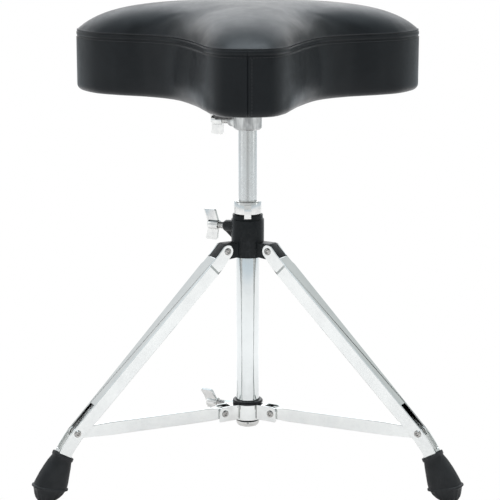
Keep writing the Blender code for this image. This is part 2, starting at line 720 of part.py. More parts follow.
def hub():
    """The cast hub: a sleeve with a stepped rim, three lugs and a boss."""
    rim = HUB_TOP - HUB_RIM_HEIGHT
    edge = 0.8 * MM
    sleeve = tube_turned([
        (HUB_RADIUS, HUB_BOTTOM), (HUB_RADIUS, rim - edge), (HUB_RADIUS - edge, rim),
        (HUB_RIM_RADIUS, rim), (HUB_RIM_RADIUS, HUB_TOP - edge), (HUB_RIM_RADIUS - edge, HUB_TOP),
        (HUB_BORE, HUB_TOP), (HUB_BORE, HUB_BOTTOM)])
    lugs = []
    for azimuth in LEG_AZIMUTHS.values():
        lugs.append(moved(lug(), Matrix.Rotation(math.radians(azimuth), 4, "Z")))
    boss = boss_solid(HUB_BORE + 1.5 * MM, HUB_BOSS_REACH, HUB_BOLT_HEIGHT)
    rib_in = HUB_BORE + 2.0 * MM
    rib_out = HUB_BOSS_REACH - MM
    rib_side = [(rib_in, HUB_BOLT_HEIGHT - 17.0 * MM), (rib_out, HUB_BOLT_HEIGHT - 5.0 * MM),
                (rib_out, HUB_BOLT_HEIGHT), (rib_in, HUB_BOLT_HEIGHT)]
    rib = moved(prism(rib_side, -3.5 * MM, 3.5 * MM), Matrix.Rotation(math.radians(WING_AZIMUTH), 4, "Z"))
    notch = block((-NOTCH_WIDTH / 2, NOTCH_WIDTH / 2), (-HUB_RIM_RADIUS - MM, -HUB_BORE / 2),
                  (HUB_TOP - NOTCH_DEPTH, HUB_TOP + MM))
    hole = radial_hole(BOLT_HOLE, HUB_BORE / 2, HUB_BOSS_REACH + MM, HUB_BOLT_HEIGHT)
    return cut(joined(sleeve, *lugs, boss, rib), notch, hole)


def rivet(grip):
    """A rivet along Y whose heads stand just clear of a grip of this half width."""
    face = grip + 0.1 * MM
    dome = 0.7 * RIVET_HEAD_RADIUS
    end = face + RIVET_HEAD
    head = RIVET_HEAD_RADIUS
    profile = [(dome, -end), (head, -face - 0.4 * RIVET_HEAD), (head, -face), (RIVET_RADIUS, -face),
               (RIVET_RADIUS, face), (head, face), (head, face + 0.4 * RIVET_HEAD), (dome, end)]
    return along_y(solid_turned(profile, SMALL_ROUND))


def rivet_stub():
    """The outer half of a rivet along Y: head outside the leg's flange, end inside it."""
    face = TOE_HALF + 0.1 * MM
    dome = 0.7 * RIVET_HEAD_RADIUS
    profile = [(RIVET_RADIUS, TOE_HALF - LEG_SHEET + 0.1 * MM), (RIVET_RADIUS, face),
               (RIVET_HEAD_RADIUS, face), (RIVET_HEAD_RADIUS, face + 0.4 * RIVET_HEAD),
               (dome, face + RIVET_HEAD)]
    return along_y(solid_turned(profile, SMALL_ROUND))


def build_base():
    """The lower tube, the hub and what they hold."""
    frame = axis_frame()
    bore = TUBE_RADIUS - TUBE_WALL
    tube = [(TUBE_RADIUS, TUBE_BOTTOM), (TUBE_RADIUS, TUBE_TOP), (bore, TUBE_TOP), (bore, TUBE_BOTTOM)]
    place("lower_tube", tube_turned(tube), "chrome", frame)
    place("hub", hub(), "black_cast", frame)

    low = TUBE_TOP + TOUCH
    outer = HUB_BORE - SLIDE_PLAY
    inner = POST_RADIUS + SLIDE_PLAY
    sleeve = tube_turned([(outer, low), (outer, HUB_TOP - TOUCH), (inner, HUB_TOP - TOUCH), (inner, low)])
    hole = radial_hole(PAD_RADIUS + TOUCH, inner / 2, HUB_BORE + MM, HUB_BOLT_HEIGHT)
    place("hub_bushing", cut(sleeve, hole), "black_plastic", frame)
    place("hub_pressure_pad", pad(HUB_PAD_LENGTH), "zinc_bolt", pad_frame(POST_RADIUS, HUB_BOLT_HEIGHT))

    ring_top = TUBE_BOTTOM - TOUCH
    ring_low = ring_top - CAP_RING_HEIGHT
    spigot = bore - TOUCH
    ring = [(TUBE_RADIUS, ring_low), (TUBE_RADIUS, ring_top), (spigot + TOUCH, ring_top),
            (spigot + TOUCH, ring_low)]
    place("end_cap_ring", tube_turned(ring), "black_rubber", frame)
    cap_top = ring_low - TOUCH
    cap_low = cap_top - CAP_HEIGHT
    cap = [(0.62 * TUBE_RADIUS, cap_low), (0.9 * TUBE_RADIUS, cap_low + 0.25 * CAP_HEIGHT),
           (TUBE_RADIUS, cap_low + 0.6 * CAP_HEIGHT), (TUBE_RADIUS, cap_top), (spigot, cap_top),
           (spigot, cap_top + CAP_SPIGOT)]
    place("tube_end_cap", solid_turned(cap), "chrome", frame)

    pin = rivet(EAR_HALF)
    for side, azimuth in LEG_AZIMUTHS.items():
        pivot = Matrix.Translation((LEG_PIVOT_RADIUS, 0.0, LEG_PIVOT_HEIGHT))
        place(f"leg_pivot_rivet_{side}", pin, "zinc_bolt", radial_frame(azimuth) @ pivot)


# ---------------------------------------------------------------------------------- the collar


def ear_half_width():
    """Half the width of a collar clevis, outside its ears."""
    return BRACE_WIDTH / 2 + SIDE_GAP + COLLAR_EAR_SHEET


def clevis():
    """One of the collar's clevises, in its radial frame."""
    low = COLLAR_BOTTOM + 1.4 * MM
    high = COLLAR_TOP + 0.5 * MM
    inner = COLLAR_RADIUS - MM
    reach = COLLAR_EAR_REACH
    outline = [(inner, low), (reach - MM, low), (reach, low + MM), (reach, high - 5.0 * MM),
               (reach - 1.5 * MM, high - 1.5 * MM), (reach - 5.0 * MM, high), (inner, high)]
    half = ear_half_width()
    solid = prism(outline, -half, half)
    gap = BRACE_WIDTH / 2 + SIDE_GAP
    slot = block((COLLAR_PIVOT_RADIUS - BRACE_END_RADIUS - 3.0 * MM, reach + MM), (-gap, gap),
                 (low - MM, high + MM))
    hole = along_y(solid_turned([(PIN_HOLE, -half - MM), (PIN_HOLE, half + MM)], SMALL_ROUND),
                   COLLAR_PIVOT_RADIUS, COLLAR_PIVOT_HEIGHT)
    return cut(solid, slot, hole)


def build_collar():
    """The brace collar that slides on the lower tube."""
    frame = axis_frame()
    sleeve_in = TUBE_RADIUS + TOUCH
    sleeve_out = sleeve_in + BUSHING_WALL
    bore = sleeve_out + TOUCH
    ring = tube_turned([(COLLAR_RADIUS, COLLAR_BOTTOM), (COLLAR_RADIUS, COLLAR_TOP), (bore, COLLAR_TOP),
                        (bore, COLLAR_BOTTOM)])
    parts = []
    for azimuth in LEG_AZIMUTHS.values():
        parts.append(moved(clevis(), Matrix.Rotation(math.radians(azimuth), 4, "Z")))
    parts.append(boss_solid(bore + 0.5 * MM, COLLAR_BOSS_REACH, COLLAR_BOLT_HEIGHT))
    inside = solid_turned([(bore, COLLAR_BOTTOM - MM), (bore, COLLAR_TOP + MM)])
    hole = radial_hole(BOLT_HOLE, bore / 2, COLLAR_BOSS_REACH + MM, COLLAR_BOLT_HEIGHT)
    place("brace_collar", cut(joined(ring, *parts), inside, hole), "chrome", frame)

    flange_low = COLLAR_TOP + 0.5 * MM + TOUCH
    flange_top = flange_low + BUSHING_FLANGE_HEIGHT
    lip = 1.2 * MM
    flange = BUSHING_FLANGE_RADIUS
    sleeve = tube_turned([
        (sleeve_out, COLLAR_BOTTOM), (sleeve_out, flange_low), (flange - lip / 2, flange_low),
        (flange, flange_low + lip), (flange, flange_top - lip), (flange - lip, flange_top),
        (sleeve_in, flange_top), (sleeve_in, COLLAR_BOTTOM)])
    pad_hole = radial_hole(PAD_RADIUS + TOUCH, sleeve_in / 2, bore + MM, COLLAR_BOLT_HEIGHT)
    place("collar_bushing", cut(sleeve, pad_hole), "black_plastic", frame)
    place("collar_pressure_pad", pad(PAD_LENGTH), "zinc_bolt", pad_frame(TUBE_RADIUS, COLLAR_BOLT_HEIGHT))

    pin = rivet(ear_half_width())
    for side, azimuth in LEG_AZIMUTHS.items():
        pivot = Matrix.Translation((COLLAR_PIVOT_RADIUS, 0.0, COLLAR_PIVOT_HEIGHT))
        place(f"brace_pivot_rivet_{side}", pin, "zinc_bolt", radial_frame(azimuth) @ pivot)


# ---------------------------------------------------------------------------------- the legs


def leg_bend(height):
    """The toe's line at a height above the line of pivots: where the bend ends, and the tip."""
    bend = math.radians(LEG_BEND)
    middle = (LEG_LENGTH + LEG_BEND_START + LEG_BEND_RUN, height - LEG_BEND_DROP)
    end = LEG_LENGTH + LEG_TOE
    return middle, (end, middle[1] - (end - middle[0]) * math.tan(bend))


def toe_underside(middle, tip):
    """The toe's inner edge: its heel, and where the bend starts."""
    bend = math.radians(LEG_BEND)
    depth = LEG_WEB + LEG_EDGE
    heel = (tip[0] - depth * math.sin(bend), tip[1] - depth * math.cos(bend))
    inner = (middle[0] - depth * math.sin(bend / 2), middle[1] - depth * math.cos(bend / 2))
    return heel, inner


def leg_side():
    """A leg's outline from the side, in its own plane."""
    start = LEG_LENGTH + LEG_BEND_START
    middle, tip = leg_bend(LEG_WEB)
    heel, inner = toe_underside(middle, tip)
    outline = [(LEG_WEB_START - 4.0 * MM, LEG_WEB), (start, LEG_WEB), middle, tip, heel, inner,
               (start - 6.0 * MM, -LEG_EDGE), (LEG_WEB_START, -LEG_EDGE)]
    return outline + arc((0.0, 0.0), LEG_EAR_RADIUS, 260.0, 100.0, 10)


def toe_pocket():
    """The toe's outline from the side, let out so that a foot fits over it."""
    middle, tip = leg_bend(LEG_WEB)
    heel, inner = toe_underside(middle, tip)
    return [(middle[0], middle[1] + TOUCH), (tip[0] + TOUCH, tip[1] + TOUCH),
            (heel[0] + TOUCH, heel[1] - TOUCH), (inner[0], inner[1] - TOUCH)]


def leg_plan(inset):
    """A leg's outline from above, drawn in by an inset."""
    end = LEG_LENGTH + LEG_TOE + 5.0 * MM
    half = [(-2 * LEG_EAR_RADIUS, EAR_HALF), (LEG_JOG_START, EAR_HALF),
            (LEG_JOG_START + LEG_JOG, LEG_WIDTH_TOP / 2), (LEG_LENGTH - SLOT_ABOVE, TOE_HALF + 0.6 * MM),
            (LEG_LENGTH, TOE_HALF), (end, TOE_HALF)]
    upper = [(s, width - inset) for s, width in half]
    return upper + [(s, -width) for s, width in reversed(upper)]


def pivot_hole(place):
    """A cutter for a pivot across a leg."""
    reach = 20.0 * MM
    return along_y(solid_turned([(PIN_HOLE, -reach), (PIN_HOLE, reach)], SMALL_ROUND), place)


def leg():
    """A tapered channel with ears at the hub, a slot at the brace and a bent toe."""
    side = prism(leg_side(), -LEG_WIDTH_TOP, LEG_WIDTH_TOP)
    plan = prism(leg_plan(0.0), -80.0 * MM, 40.0 * MM, "XY")
    solid = combined(side, [plan], "INTERSECT")
    under = LEG_WEB - LEG_SHEET
    start = LEG_LENGTH + LEG_BEND_START
    above_bend = block((-1.0, start), (-1.0, 1.0), (-1.0, 1.0))
    channel = combined(prism(leg_plan(LEG_SHEET), -80.0 * MM, under, "XY"), [above_bend], "INTERSECT")
    middle, tip = leg_bend(under)
    past = 5.0 * MM
    end = (tip[0] + past, tip[1] - past * math.tan(math.radians(LEG_BEND)))
    floor = -60.0 * MM
    toe = [(start - MM, floor), (start - MM, under), (start, under), middle, end, (end[0], floor)]
    inner = TOE_HALF - LEG_SHEET
    toe_channel = prism(toe, -inner, inner)
    ear_inner = EAR_HALF - LEG_SHEET
    fork = block((-3 * LEG_EAR_RADIUS, LEG_WEB_START), (-ear_inner, ear_inner), (-20.0 * MM, 20.0 * MM))
    slot = block((LEG_LENGTH - SLOT_ABOVE, LEG_LENGTH + SLOT_BELOW), (-inner, inner),
                 (-30.0 * MM, 20.0 * MM))
    return cut(solid, channel, toe_channel, fork, slot, pivot_hole(0.0), pivot_hole(LEG_LENGTH))


def foot():
    """A rubber boot in its radial frame, with a pocket for the leg's toe."""
    rings = []
    pivot = brace_pivot()[0]
    for reach, height, tilt, half, width in FOOT_SECTIONS:
        turn = math.radians(tilt)
        ring = []
        for i in range(FOOT_SIDES):
            angle = 2 * math.pi * i / FOOT_SIDES
            c, s = math.cos(angle), math.sin(angle)
            power = 2 / FOOT_SQUARENESS
            along = math.copysign(abs(c) ** power, c) * half * MM
            across = math.copysign(abs(s) ** power, s) * width * MM
            ring.append((pivot + reach * MM + along * math.cos(turn), across,
                         height * MM + along * math.sin(turn)))
        rings.append(ring)
    pocket_half = TOE_HALF + TOUCH
    pocket = prism([leg_point(s, n) for s, n in toe_pocket()], -pocket_half, pocket_half)
    return cut(loft(rings), pocket)


def brace():
    """A channel with its web on top and rounded ears at both ends."""
    length = brace_span()[0]
    radius = BRACE_END_RADIUS
    half = BRACE_DEPTH / 2
    outline = arc((0.0, 0.0), radius, 90.0, 270.0, 10)
    outline += [(BRACE_TAPER_IN, -half), (length - BRACE_TAPER_OUT, -half)]
    outline += arc((length, 0.0), radius, -90.0, 90.0, 10)
    outline += [(length - BRACE_TAPER_OUT, half), (BRACE_TAPER_IN, half)]
    wide = BRACE_WIDTH / 2
    solid = prism(outline, -wide, wide)
    under = half - BRACE_SHEET
    inner = wide - BRACE_SHEET
    channel = block((-2 * radius, length + 2 * radius), (-inner, inner), (-2 * half, under))
    near = along_y(solid_turned([(PIN_HOLE, -2 * wide), (PIN_HOLE, 2 * wide)], SMALL_ROUND))
    far = along_y(solid_turned([(PIN_HOLE, -2 * wide), (PIN_HOLE, 2 * wide)], SMALL_ROUND), length)
    return cut(solid, channel, near, far)


def build_legs():
    """Three legs with their feet, and the braces that hold them."""
    leg_mesh = leg()
    foot_mesh = foot()
    stub = rivet_stub()
    brace_mesh = brace()
    radius, height = brace_pivot()
    for side, azimuth in LEG_AZIMUTHS.items():
        place(f"leg_{side}", leg_mesh, "chrome", leg_frame(azimuth))
        place(f"foot_{side}", foot_mesh, "black_rubber", radial_frame(azimuth))
        pivot = radial_frame(azimuth) @ Matrix.Translation((radius, 0.0, height))
        place(f"leg_brace_rivet_a_{side}", stub, "zinc_bolt", pivot)
        place(f"leg_brace_rivet_b_{side}", stub, "zinc_bolt", pivot @ Matrix.Rotation(math.pi, 4, "Z"))
        place(f"brace_{side}", brace_mesh, "chrome", brace_frame(azimuth))


def main():
    """Build the throne."""
    for obj in list(bpy.data.objects):
        bpy.data.objects.remove(obj)
    build_seat()
    build_wing_bolts()
    build_post()
    build_base()
    build_collar()
    build_legs()


main()
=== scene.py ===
"""Looks of a folding drum throne: a padded saddle seat, a telescopic post and a braced tripod.

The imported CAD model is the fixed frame. Each sub-assembly below is a class that makes its finer
pieces round that frame, dresses them with procedural finishes, and hands each one to the body
that carries it.
"""

import logging
import math
import random
from dataclasses import dataclass, field
from enum import Enum
from typing import Callable, Iterable, Optional, Sequence

import bmesh
import bpy
import numpy as np
from mathutils import Matrix, Vector


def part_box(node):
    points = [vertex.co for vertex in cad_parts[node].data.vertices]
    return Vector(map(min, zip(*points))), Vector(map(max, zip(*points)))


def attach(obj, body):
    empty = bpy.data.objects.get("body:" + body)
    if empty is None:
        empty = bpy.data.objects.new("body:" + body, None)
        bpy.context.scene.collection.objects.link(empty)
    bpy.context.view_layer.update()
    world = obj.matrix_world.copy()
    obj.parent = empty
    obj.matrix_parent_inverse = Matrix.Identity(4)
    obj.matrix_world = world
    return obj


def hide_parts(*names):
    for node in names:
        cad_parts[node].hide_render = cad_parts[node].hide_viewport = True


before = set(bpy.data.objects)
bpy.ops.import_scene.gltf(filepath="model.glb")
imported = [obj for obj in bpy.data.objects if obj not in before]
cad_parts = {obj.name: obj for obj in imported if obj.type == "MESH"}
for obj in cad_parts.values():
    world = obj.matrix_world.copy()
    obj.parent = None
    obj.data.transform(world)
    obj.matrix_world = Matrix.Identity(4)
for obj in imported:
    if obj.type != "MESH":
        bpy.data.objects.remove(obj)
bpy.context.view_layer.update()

LOG = logging.getLogger("throne")
MM = 0.001
Point = Sequence[float]
Color = tuple[float, float, float]
Socket = bpy.types.NodeSocket

LEG_AZIMUTHS = {"rear": 90.0, "front_left": 210.0, "front_right": 330.0}
WING_AZIMUTH = 150.0

# Degrees of shading angle that keep a pressed flat flat beside its rolled edge.
FLAT_SMOOTH = 20.0


class Slot(Enum):
    """The record's material slots."""

    VINYL = "black_vinyl"
    STEEL = "black_steel"
    CAST = "cast_zinc"
    BOLT = "zinc_bolt"
    CHROME = "chrome"
    NICKEL = "nickel"
    HUB = "black_cast"
    PLASTIC = "black_plastic"
    RUBBER = "black_rubber"
    BOARD = "plywood"
    DUST = "dust_cloth"


# ------------------------------------------------------------------------------ places


def middle_of(node: str) -> Vector:
    """The middle of a CAD node's box."""
    low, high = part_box(node)
    return (low + high) / 2


AXIS = Vector((0.0, middle_of("upper_post").y, 0.0))


def radial_frame(azimuth: float, radius: float = 0.0, height: float = 0.0) -> Matrix:
    """A frame whose X points outwards at an azimuth, with its origin at a radius and height."""
    turn = Matrix.Rotation(math.radians(azimuth), 4, "Z")
    return Matrix.Translation(AXIS) @ turn @ Matrix.Translation((radius, 0.0, height))


# ------------------------------------------------------------------------------ node graphs


class Graph:
    """A node tree, with short ways to add nodes and join them."""

    def __init__(self, tree: bpy.types.NodeTree) -> None:
        """Keep the tree."""
        self.tree = tree

    def add(self, kind: str, **settings: object) -> bpy.types.Node:
        """Add a node and set its properties."""
        node = self.tree.nodes.new(kind)
        for name, value in settings.items():
            setattr(node, name, value)
        return node

    def feed(self, socket: Socket, value: object) -> None:
        """Link a value that is a socket, or set it as the default."""
        if isinstance(value, bpy.types.NodeSocket):
            self.tree.links.new(value, socket)
        else:
            socket.default_value = value

    def calc(self, operation: str, first: object, second: object = 0.0) -> Socket:
        """A Math node's result."""
        node = self.add("ShaderNodeMath", operation=operation)
        self.feed(node.inputs[0], first)
        self.feed(node.inputs[1], second)
        return node.outputs[0]

    def product(self, first: object, *others: object) -> object:
        """Several values multiplied together."""
        for other in others:
            first = self.calc("MULTIPLY", first, other)
        return first

    def remap(self, value: object, source: Point, target: Point) -> Socket:
        """A value carried from one range to another, held at its ends."""
        node = self.add("ShaderNodeMapRange")
        for index, item in enumerate((value, *source, *target)):
            self.feed(node.inputs[index], item)
        return node.outputs[0]

    def tint(self, factor: object, first: object, second: object) -> Socket:
        """A mix of two colours."""
        node = self.add("ShaderNodeMix", data_type="RGBA")
        self.feed(node.inputs[0], factor)
        self.feed(node.inputs[6], first)
        self.feed(node.inputs[7], second)
        return node.outputs[2]

    def noise(self, place: Socket, scale: object, detail: float = 3.0, rough: float = 0.5) -> Socket:
        """Noise between 0 and 1."""
        node = self.add("ShaderNodeTexNoise")
        self.feed(node.inputs["Vector"], place)
        self.feed(node.inputs["Scale"], scale)
        node.inputs["Detail"].default_value = detail
        node.inputs["Roughness"].default_value = rough
        return node.outputs[0]

    def cells(self, place: Socket, scale: object, feature: str = "DISTANCE_TO_EDGE") -> Socket:
        """Cell pattern: the distance to a cell's edge or to its point."""
        node = self.add("ShaderNodeTexVoronoi", feature=feature)
        self.feed(node.inputs["Vector"], place)
        self.feed(node.inputs["Scale"], scale)
        return node.outputs["Distance"]

    def stretch(self, place: Socket, scale: Point, turn: Point = (0.0, 0.0, 0.0)) -> Socket:
        """A place stretched along its axes, for a drawn or woven pattern."""
        node = self.add("ShaderNodeMapping")
        self.feed(node.inputs["Vector"], place)
        node.inputs["Rotation"].default_value = turn
        node.inputs["Scale"].default_value = scale
        return node.outputs[0]

    def shared(self, tree: bpy.types.NodeTree, **inputs: object) -> bpy.types.Node:
        """Place a shared effect and set its inputs by name, with _ for a space."""
        node = self.add("ShaderNodeGroup", node_tree=tree)
        for name, value in inputs.items():
            self.feed(node.inputs[name.replace("_", " ")], value)
        return node


class Effects:
    """Shader effects that several finishes share, each made once and named for what it shows."""

    FLOAT = "NodeSocketFloat"
    VECTOR = "NodeSocketVector"

    def __init__(self) -> None:
        """Start with none made."""
        self._made: dict[str, bpy.types.NodeTree] = {}

    def _open(self, name: str, inputs: dict[str, str], outputs: Sequence[str]) -> tuple:
        """Start a group.

        Args:
            name: The group's name.
            inputs: Each input's name and socket type.
            outputs: The names of its outputs, all of them values.

        Returns:
            The graph, the input node's outputs and the output node's inputs.
        """
        tree = bpy.data.node_groups.new(name, "ShaderNodeTree")
        for title, kind in inputs.items():
            tree.interface.new_socket(title, in_out="INPUT", socket_type=kind)
        for title in outputs:
            tree.interface.new_socket(title, in_out="OUTPUT", socket_type=self.FLOAT)
        graph = Graph(tree)
        self._made[name] = tree
        return graph, graph.add("NodeGroupInput").outputs, graph.add("NodeGroupOutput").inputs

    def smudge(self) -> bpy.types.NodeTree:
        """Handling marks: soft patches between a low and a high roughness."""
        if "smudge" not in self._made:
            kinds = {"Place": self.VECTOR, "Size": self.FLOAT, "Low": self.FLOAT, "High": self.FLOAT}
            graph, given, out = self._open("smudge", kinds, ("Roughness", "Patch"))
            broad = graph.noise(given["Place"], graph.calc("DIVIDE", 1.0, given["Size"]), 4.0, 0.6)
            fine_size = graph.calc("DIVIDE", 7.0, given["Size"])
            fine = graph.noise(given["Place"], fine_size, 2.0, 0.5)
            both = graph.calc("ADD", graph.calc("MULTIPLY", broad, 0.75), graph.calc("MULTIPLY", fine, 0.25))
            patch = graph.remap(both, (0.36, 0.66), (0.0, 1.0))
            graph.feed(out["Roughness"], graph.remap(patch, (0.0, 1.0), (given["Low"], given["High"])))
            graph.feed(out["Patch"], patch)
        return self._made["smudge"]

    def wear(self) -> bpy.types.NodeTree:
        """Edge wear: a mask that rises along convex edges, broken up by noise."""
        if "edge wear" not in self._made:
            kinds = {"Place": self.VECTOR, "Amount": self.FLOAT, "Grit": self.FLOAT}
            graph, given, out = self._open("edge wear", kinds, ("Mask",))
            point = graph.add("ShaderNodeNewGeometry").outputs["Pointiness"]
            edge = graph.remap(point, (0.515, 0.6), (0.0, 1.0))
            grit = graph.remap(graph.noise(given["Place"], given["Grit"], 4.0), (0.35, 0.65), (0.0, 1.0))
            graph.feed(out["Mask"], graph.product(edge, grit, given["Amount"]))
        return self._made["edge wear"]

    def crease(self) -> bpy.types.NodeTree:
        """Painted shade in the creases: a mask that rises along concave edges, where the colour is darkened
        to stand for shade.
        """
        if "crease grime" not in self._made:
            kinds = {"Place": self.VECTOR, "Amount": self.FLOAT}
            graph, given, out = self._open("crease grime", kinds, ("Mask",))
            point = graph.add("ShaderNodeNewGeometry").outputs["Pointiness"]
            deep = graph.remap(point, (0.36, 0.45), (1.0, 0.0))
            patch = graph.remap(graph.noise(given["Place"], 200.0, 3.0), (0.3, 0.6), (0.6, 1.0))
            graph.feed(out["Mask"], graph.product(deep, patch, given["Amount"]))
        return self._made["crease grime"]

    def dust(self) -> bpy.types.NodeTree:
        """Dust: a mask on faces that look up, patchy and fine."""
        if "dust" not in self._made:
            kinds = {"Place": self.VECTOR, "Amount": self.FLOAT}
            graph, given, out = self._open("dust", kinds, ("Mask",))
            split = graph.add("ShaderNodeSeparateXYZ")
            graph.feed(split.inputs[0], graph.add("ShaderNodeNewGeometry").outputs["Normal"])
            up = graph.remap(split.outputs[2], (0.2, 1.0), (0.0, 1.0))
            patch = graph.remap(graph.noise(given["Place"], 22.0, 6.0, 0.7), (0.42, 0.75), (0.0, 1.0))
            specks = graph.remap(graph.cells(given["Place"], 420.0, "F1"), (0.0, 0.25), (1.0, 0.0))
            layer = graph.calc("ADD", patch, graph.calc("MULTIPLY", specks, 0.35))
            graph.feed(out["Mask"], graph.product(up, layer, given["Amount"]))
        return self._made["dust"]

    def grain(self) -> bpy.types.NodeTree:
        """Leather-like grain: small pebbles with creases between, and broader ripples."""
        if "pebble grain" not in self._made:
            kinds = {"Place": self.VECTOR, "Density": self.FLOAT, "Ripple": self.FLOAT}
            graph, given, out = self._open("pebble grain", kinds, ("Height", "Crease"))
            warp = graph.add("ShaderNodeVectorMath", operation="ADD")
            drift = graph.add("ShaderNodeVectorMath", operation="SCALE")
            bend = graph.add("ShaderNodeTexNoise")
            graph.feed(bend.inputs["Vector"], given["Place"])
            bend.inputs["Scale"].default_value = 260.0
            graph.feed(drift.inputs[0], bend.outputs["Color"])
            drift.inputs["Scale"].default_value = 0.0011
            graph.feed(warp.inputs[0], given["Place"])
            graph.feed(warp.inputs[1], drift.outputs[0])
            crease = graph.remap(graph.cells(warp.outputs[0], given["Density"]), (0.0, 0.16), (0.0, 1.0))
            ripple = graph.calc("MULTIPLY", graph.noise(given["Place"], 45.0, 3.0), given["Ripple"])
            fine = graph.calc("MULTIPLY", graph.noise(given["Place"], 2400.0, 2.0), 0.25)
            graph.feed(out["Height"], graph.calc("ADD", graph.calc("ADD", crease, fine), ripple))
            graph.feed(out["Crease"], crease)
        return self._made["pebble grain"]

    def scratches(self) -> bpy.types.NodeTree:
        """Hairline scratches in two directions."""
        if "hairlines" not in self._made:
            kinds = {"Place": self.VECTOR, "Amount": self.FLOAT}
            graph, given, out = self._open("hairlines", kinds, ("Mask",))
            total: object = 0.0
            for turn in ((0.4, 0.2, 0.9), (1.3, 0.7, 2.2)):
                lines = graph.noise(graph.stretch(given["Place"], (1400.0, 30.0, 60.0), turn), 1.0, 2.0, 0.4)
                total = graph.calc("ADD", total, graph.remap(lines, (0.66, 0.72), (0.0, 1.0)))
            rare = graph.remap(graph.noise(given["Place"], 30.0, 2.0), (0.45, 0.7), (0.0, 1.0))
            graph.feed(out["Mask"], graph.product(total, rare, given["Amount"]))
        return self._made["hairlines"]


EFFECTS = Effects()
PALE_DUST = (0.3, 0.29, 0.27, 1.0)
WARM_DUST = (0.3, 0.28, 0.25, 1.0)


# ------------------------------------------------------------------------------ finishes


@dataclass(frozen=True)
class Finish:
    """A painted, plated or moulded surface. Its subclasses say what its pattern is."""

    name: str
    slot: Slot
    color: Color
    second: Color
    gloss: tuple[float, float]
    metallic: float = 0.0
    specular: float = 0.5
    coat: float = 0.0

    def material(self) -> bpy.types.Material:
        """The finish's material, made the first time it is asked for."""
        found = bpy.data.materials.get(self.name)
        if found is not None:
            return found
        material = bpy.data.materials.new(self.name)
        material.use_nodes = True
        graph = Graph(material.node_tree)
        shader = material.node_tree.nodes["Principled BSDF"]
        shader.inputs["Metallic"].default_value = self.metallic
        shader.inputs["Specular IOR Level"].default_value = self.specular
        shader.inputs["Coat Weight"].default_value = self.coat
        shader.inputs["Coat Roughness"].default_value = 0.12
        place = graph.add("ShaderNodeTexCoord").outputs["Object"]
        self.paint(graph, shader.inputs, place)
        return material

    def paint(self, graph: Graph, shader: bpy.types.bpy_prop_collection, place: Socket) -> None:
        """Lay the pattern into the shader's inputs.

        Args:
            graph: The material's graph.
            shader: The Principled shader's inputs.
            place: Object coordinates.
        """
        raise NotImplementedError

    def rgba(self, color: Optional[Color] = None) -> tuple[float, float, float, float]:
        """A colour, the finish's own by default, with full alpha."""
        return (*(color or self.color), 1.0)

    def bump(self, graph: Graph, shader: bpy.types.bpy_prop_collection, height: Socket,
             depth: float, strength: float = 1.0) -> None:
        """Raise the surface by a height pattern whose full depth is given in metres."""
        node = graph.add("ShaderNodeBump")
        node.inputs["Strength"].default_value = strength
        node.inputs["Distance"].default_value = depth
        graph.feed(node.inputs["Height"], height)
        graph.feed(shader["Normal"], node.outputs[0])

    def rub(self, graph: Graph, shader: bpy.types.bpy_prop_collection, place: Socket, size: float) -> Socket:
        """Vary the roughness in soft patches of a size in metres, and return the patch mask."""
        node = graph.shared(EFFECTS.smudge(), Place=place, Size=size, Low=self.gloss[0], High=self.gloss[1])
        graph.feed(shader["Roughness"], node.outputs["Roughness"])
        return node.outputs["Patch"]


@dataclass(frozen=True)
class Vinyl(Finish):
    """Grained upholstery vinyl with a soft sheen."""

    density: float = 760.0

    def paint(self, graph: Graph, shader: bpy.types.bpy_prop_collection, place: Socket) -> None:
        """Pebble grain, faint dust and a slightly polished edge."""
        grain = graph.shared(EFFECTS.grain(), Place=place, Density=self.density, Ripple=0.9)
        patch = self.rub(graph, shader, place, 0.06)
        wear = graph.shared(EFFECTS.wear(), Place=place, Amount=0.35, Grit=140.0).outputs[0]
        dust = graph.shared(EFFECTS.dust(), Place=place, Amount=0.05).outputs[0]
        base = graph.tint(patch, self.rgba(), self.rgba(self.second))
        base = graph.tint(graph.remap(grain.outputs["Crease"], (0.0, 1.0), (0.45, 0.0)), base,
                          (0.002, 0.002, 0.003, 1.0))
        base = graph.tint(wear, base, (0.05, 0.053, 0.057, 1.0))
        graph.feed(shader["Base Color"], graph.tint(dust, base, PALE_DUST))
        self.bump(graph, shader, grain.outputs["Height"], 0.00008, 0.4)


@dataclass(frozen=True)
class Plated(Finish):
    """Bright plating over pressed or drawn metal."""

    wave: float = 0.00012
    patch_size: float = 0.03

    def paint(self, graph: Graph, shader: bpy.types.bpy_prop_collection, place: Socket) -> None:
        """A faint wave from the pressing, handling marks, hairlines, tiny pits and painted shade in the
        creases.
        """
        patch = self.rub(graph, shader, place, self.patch_size)
        lines = graph.shared(EFFECTS.scratches(), Place=place, Amount=0.5).outputs[0]
        pits = graph.remap(graph.cells(place, 230.0, "F1"), (0.02, 0.06), (1.0, 0.0))
        rare = graph.remap(graph.noise(place, 60.0, 1.0), (0.6, 0.72), (0.0, 1.0))
        pits = graph.calc("MULTIPLY", pits, rare)
        base = graph.tint(patch, self.rgba(), self.rgba(self.second))
        base = graph.tint(graph.calc("MULTIPLY", lines, 0.35), base, self.rgba(self.second))
        # Painted shade: concave edges are darkened in the colour to stand for the shade in the creases.
        crease = graph.shared(EFFECTS.crease(), Place=place, Amount=0.85).outputs[0]
        base = graph.tint(crease, base, (0.05, 0.05, 0.052, 1.0))
        graph.feed(shader["Base Color"], graph.tint(pits, base, (0.25, 0.24, 0.22, 1.0)))
        wave = graph.noise(place, 38.0, 2.0, 0.4)
        height = graph.calc("SUBTRACT", wave, graph.calc("MULTIPLY", lines, 0.05))
        height = graph.calc("SUBTRACT", height, graph.calc("MULTIPLY", pits, 0.12))
        self.bump(graph, shader, height, self.wave)


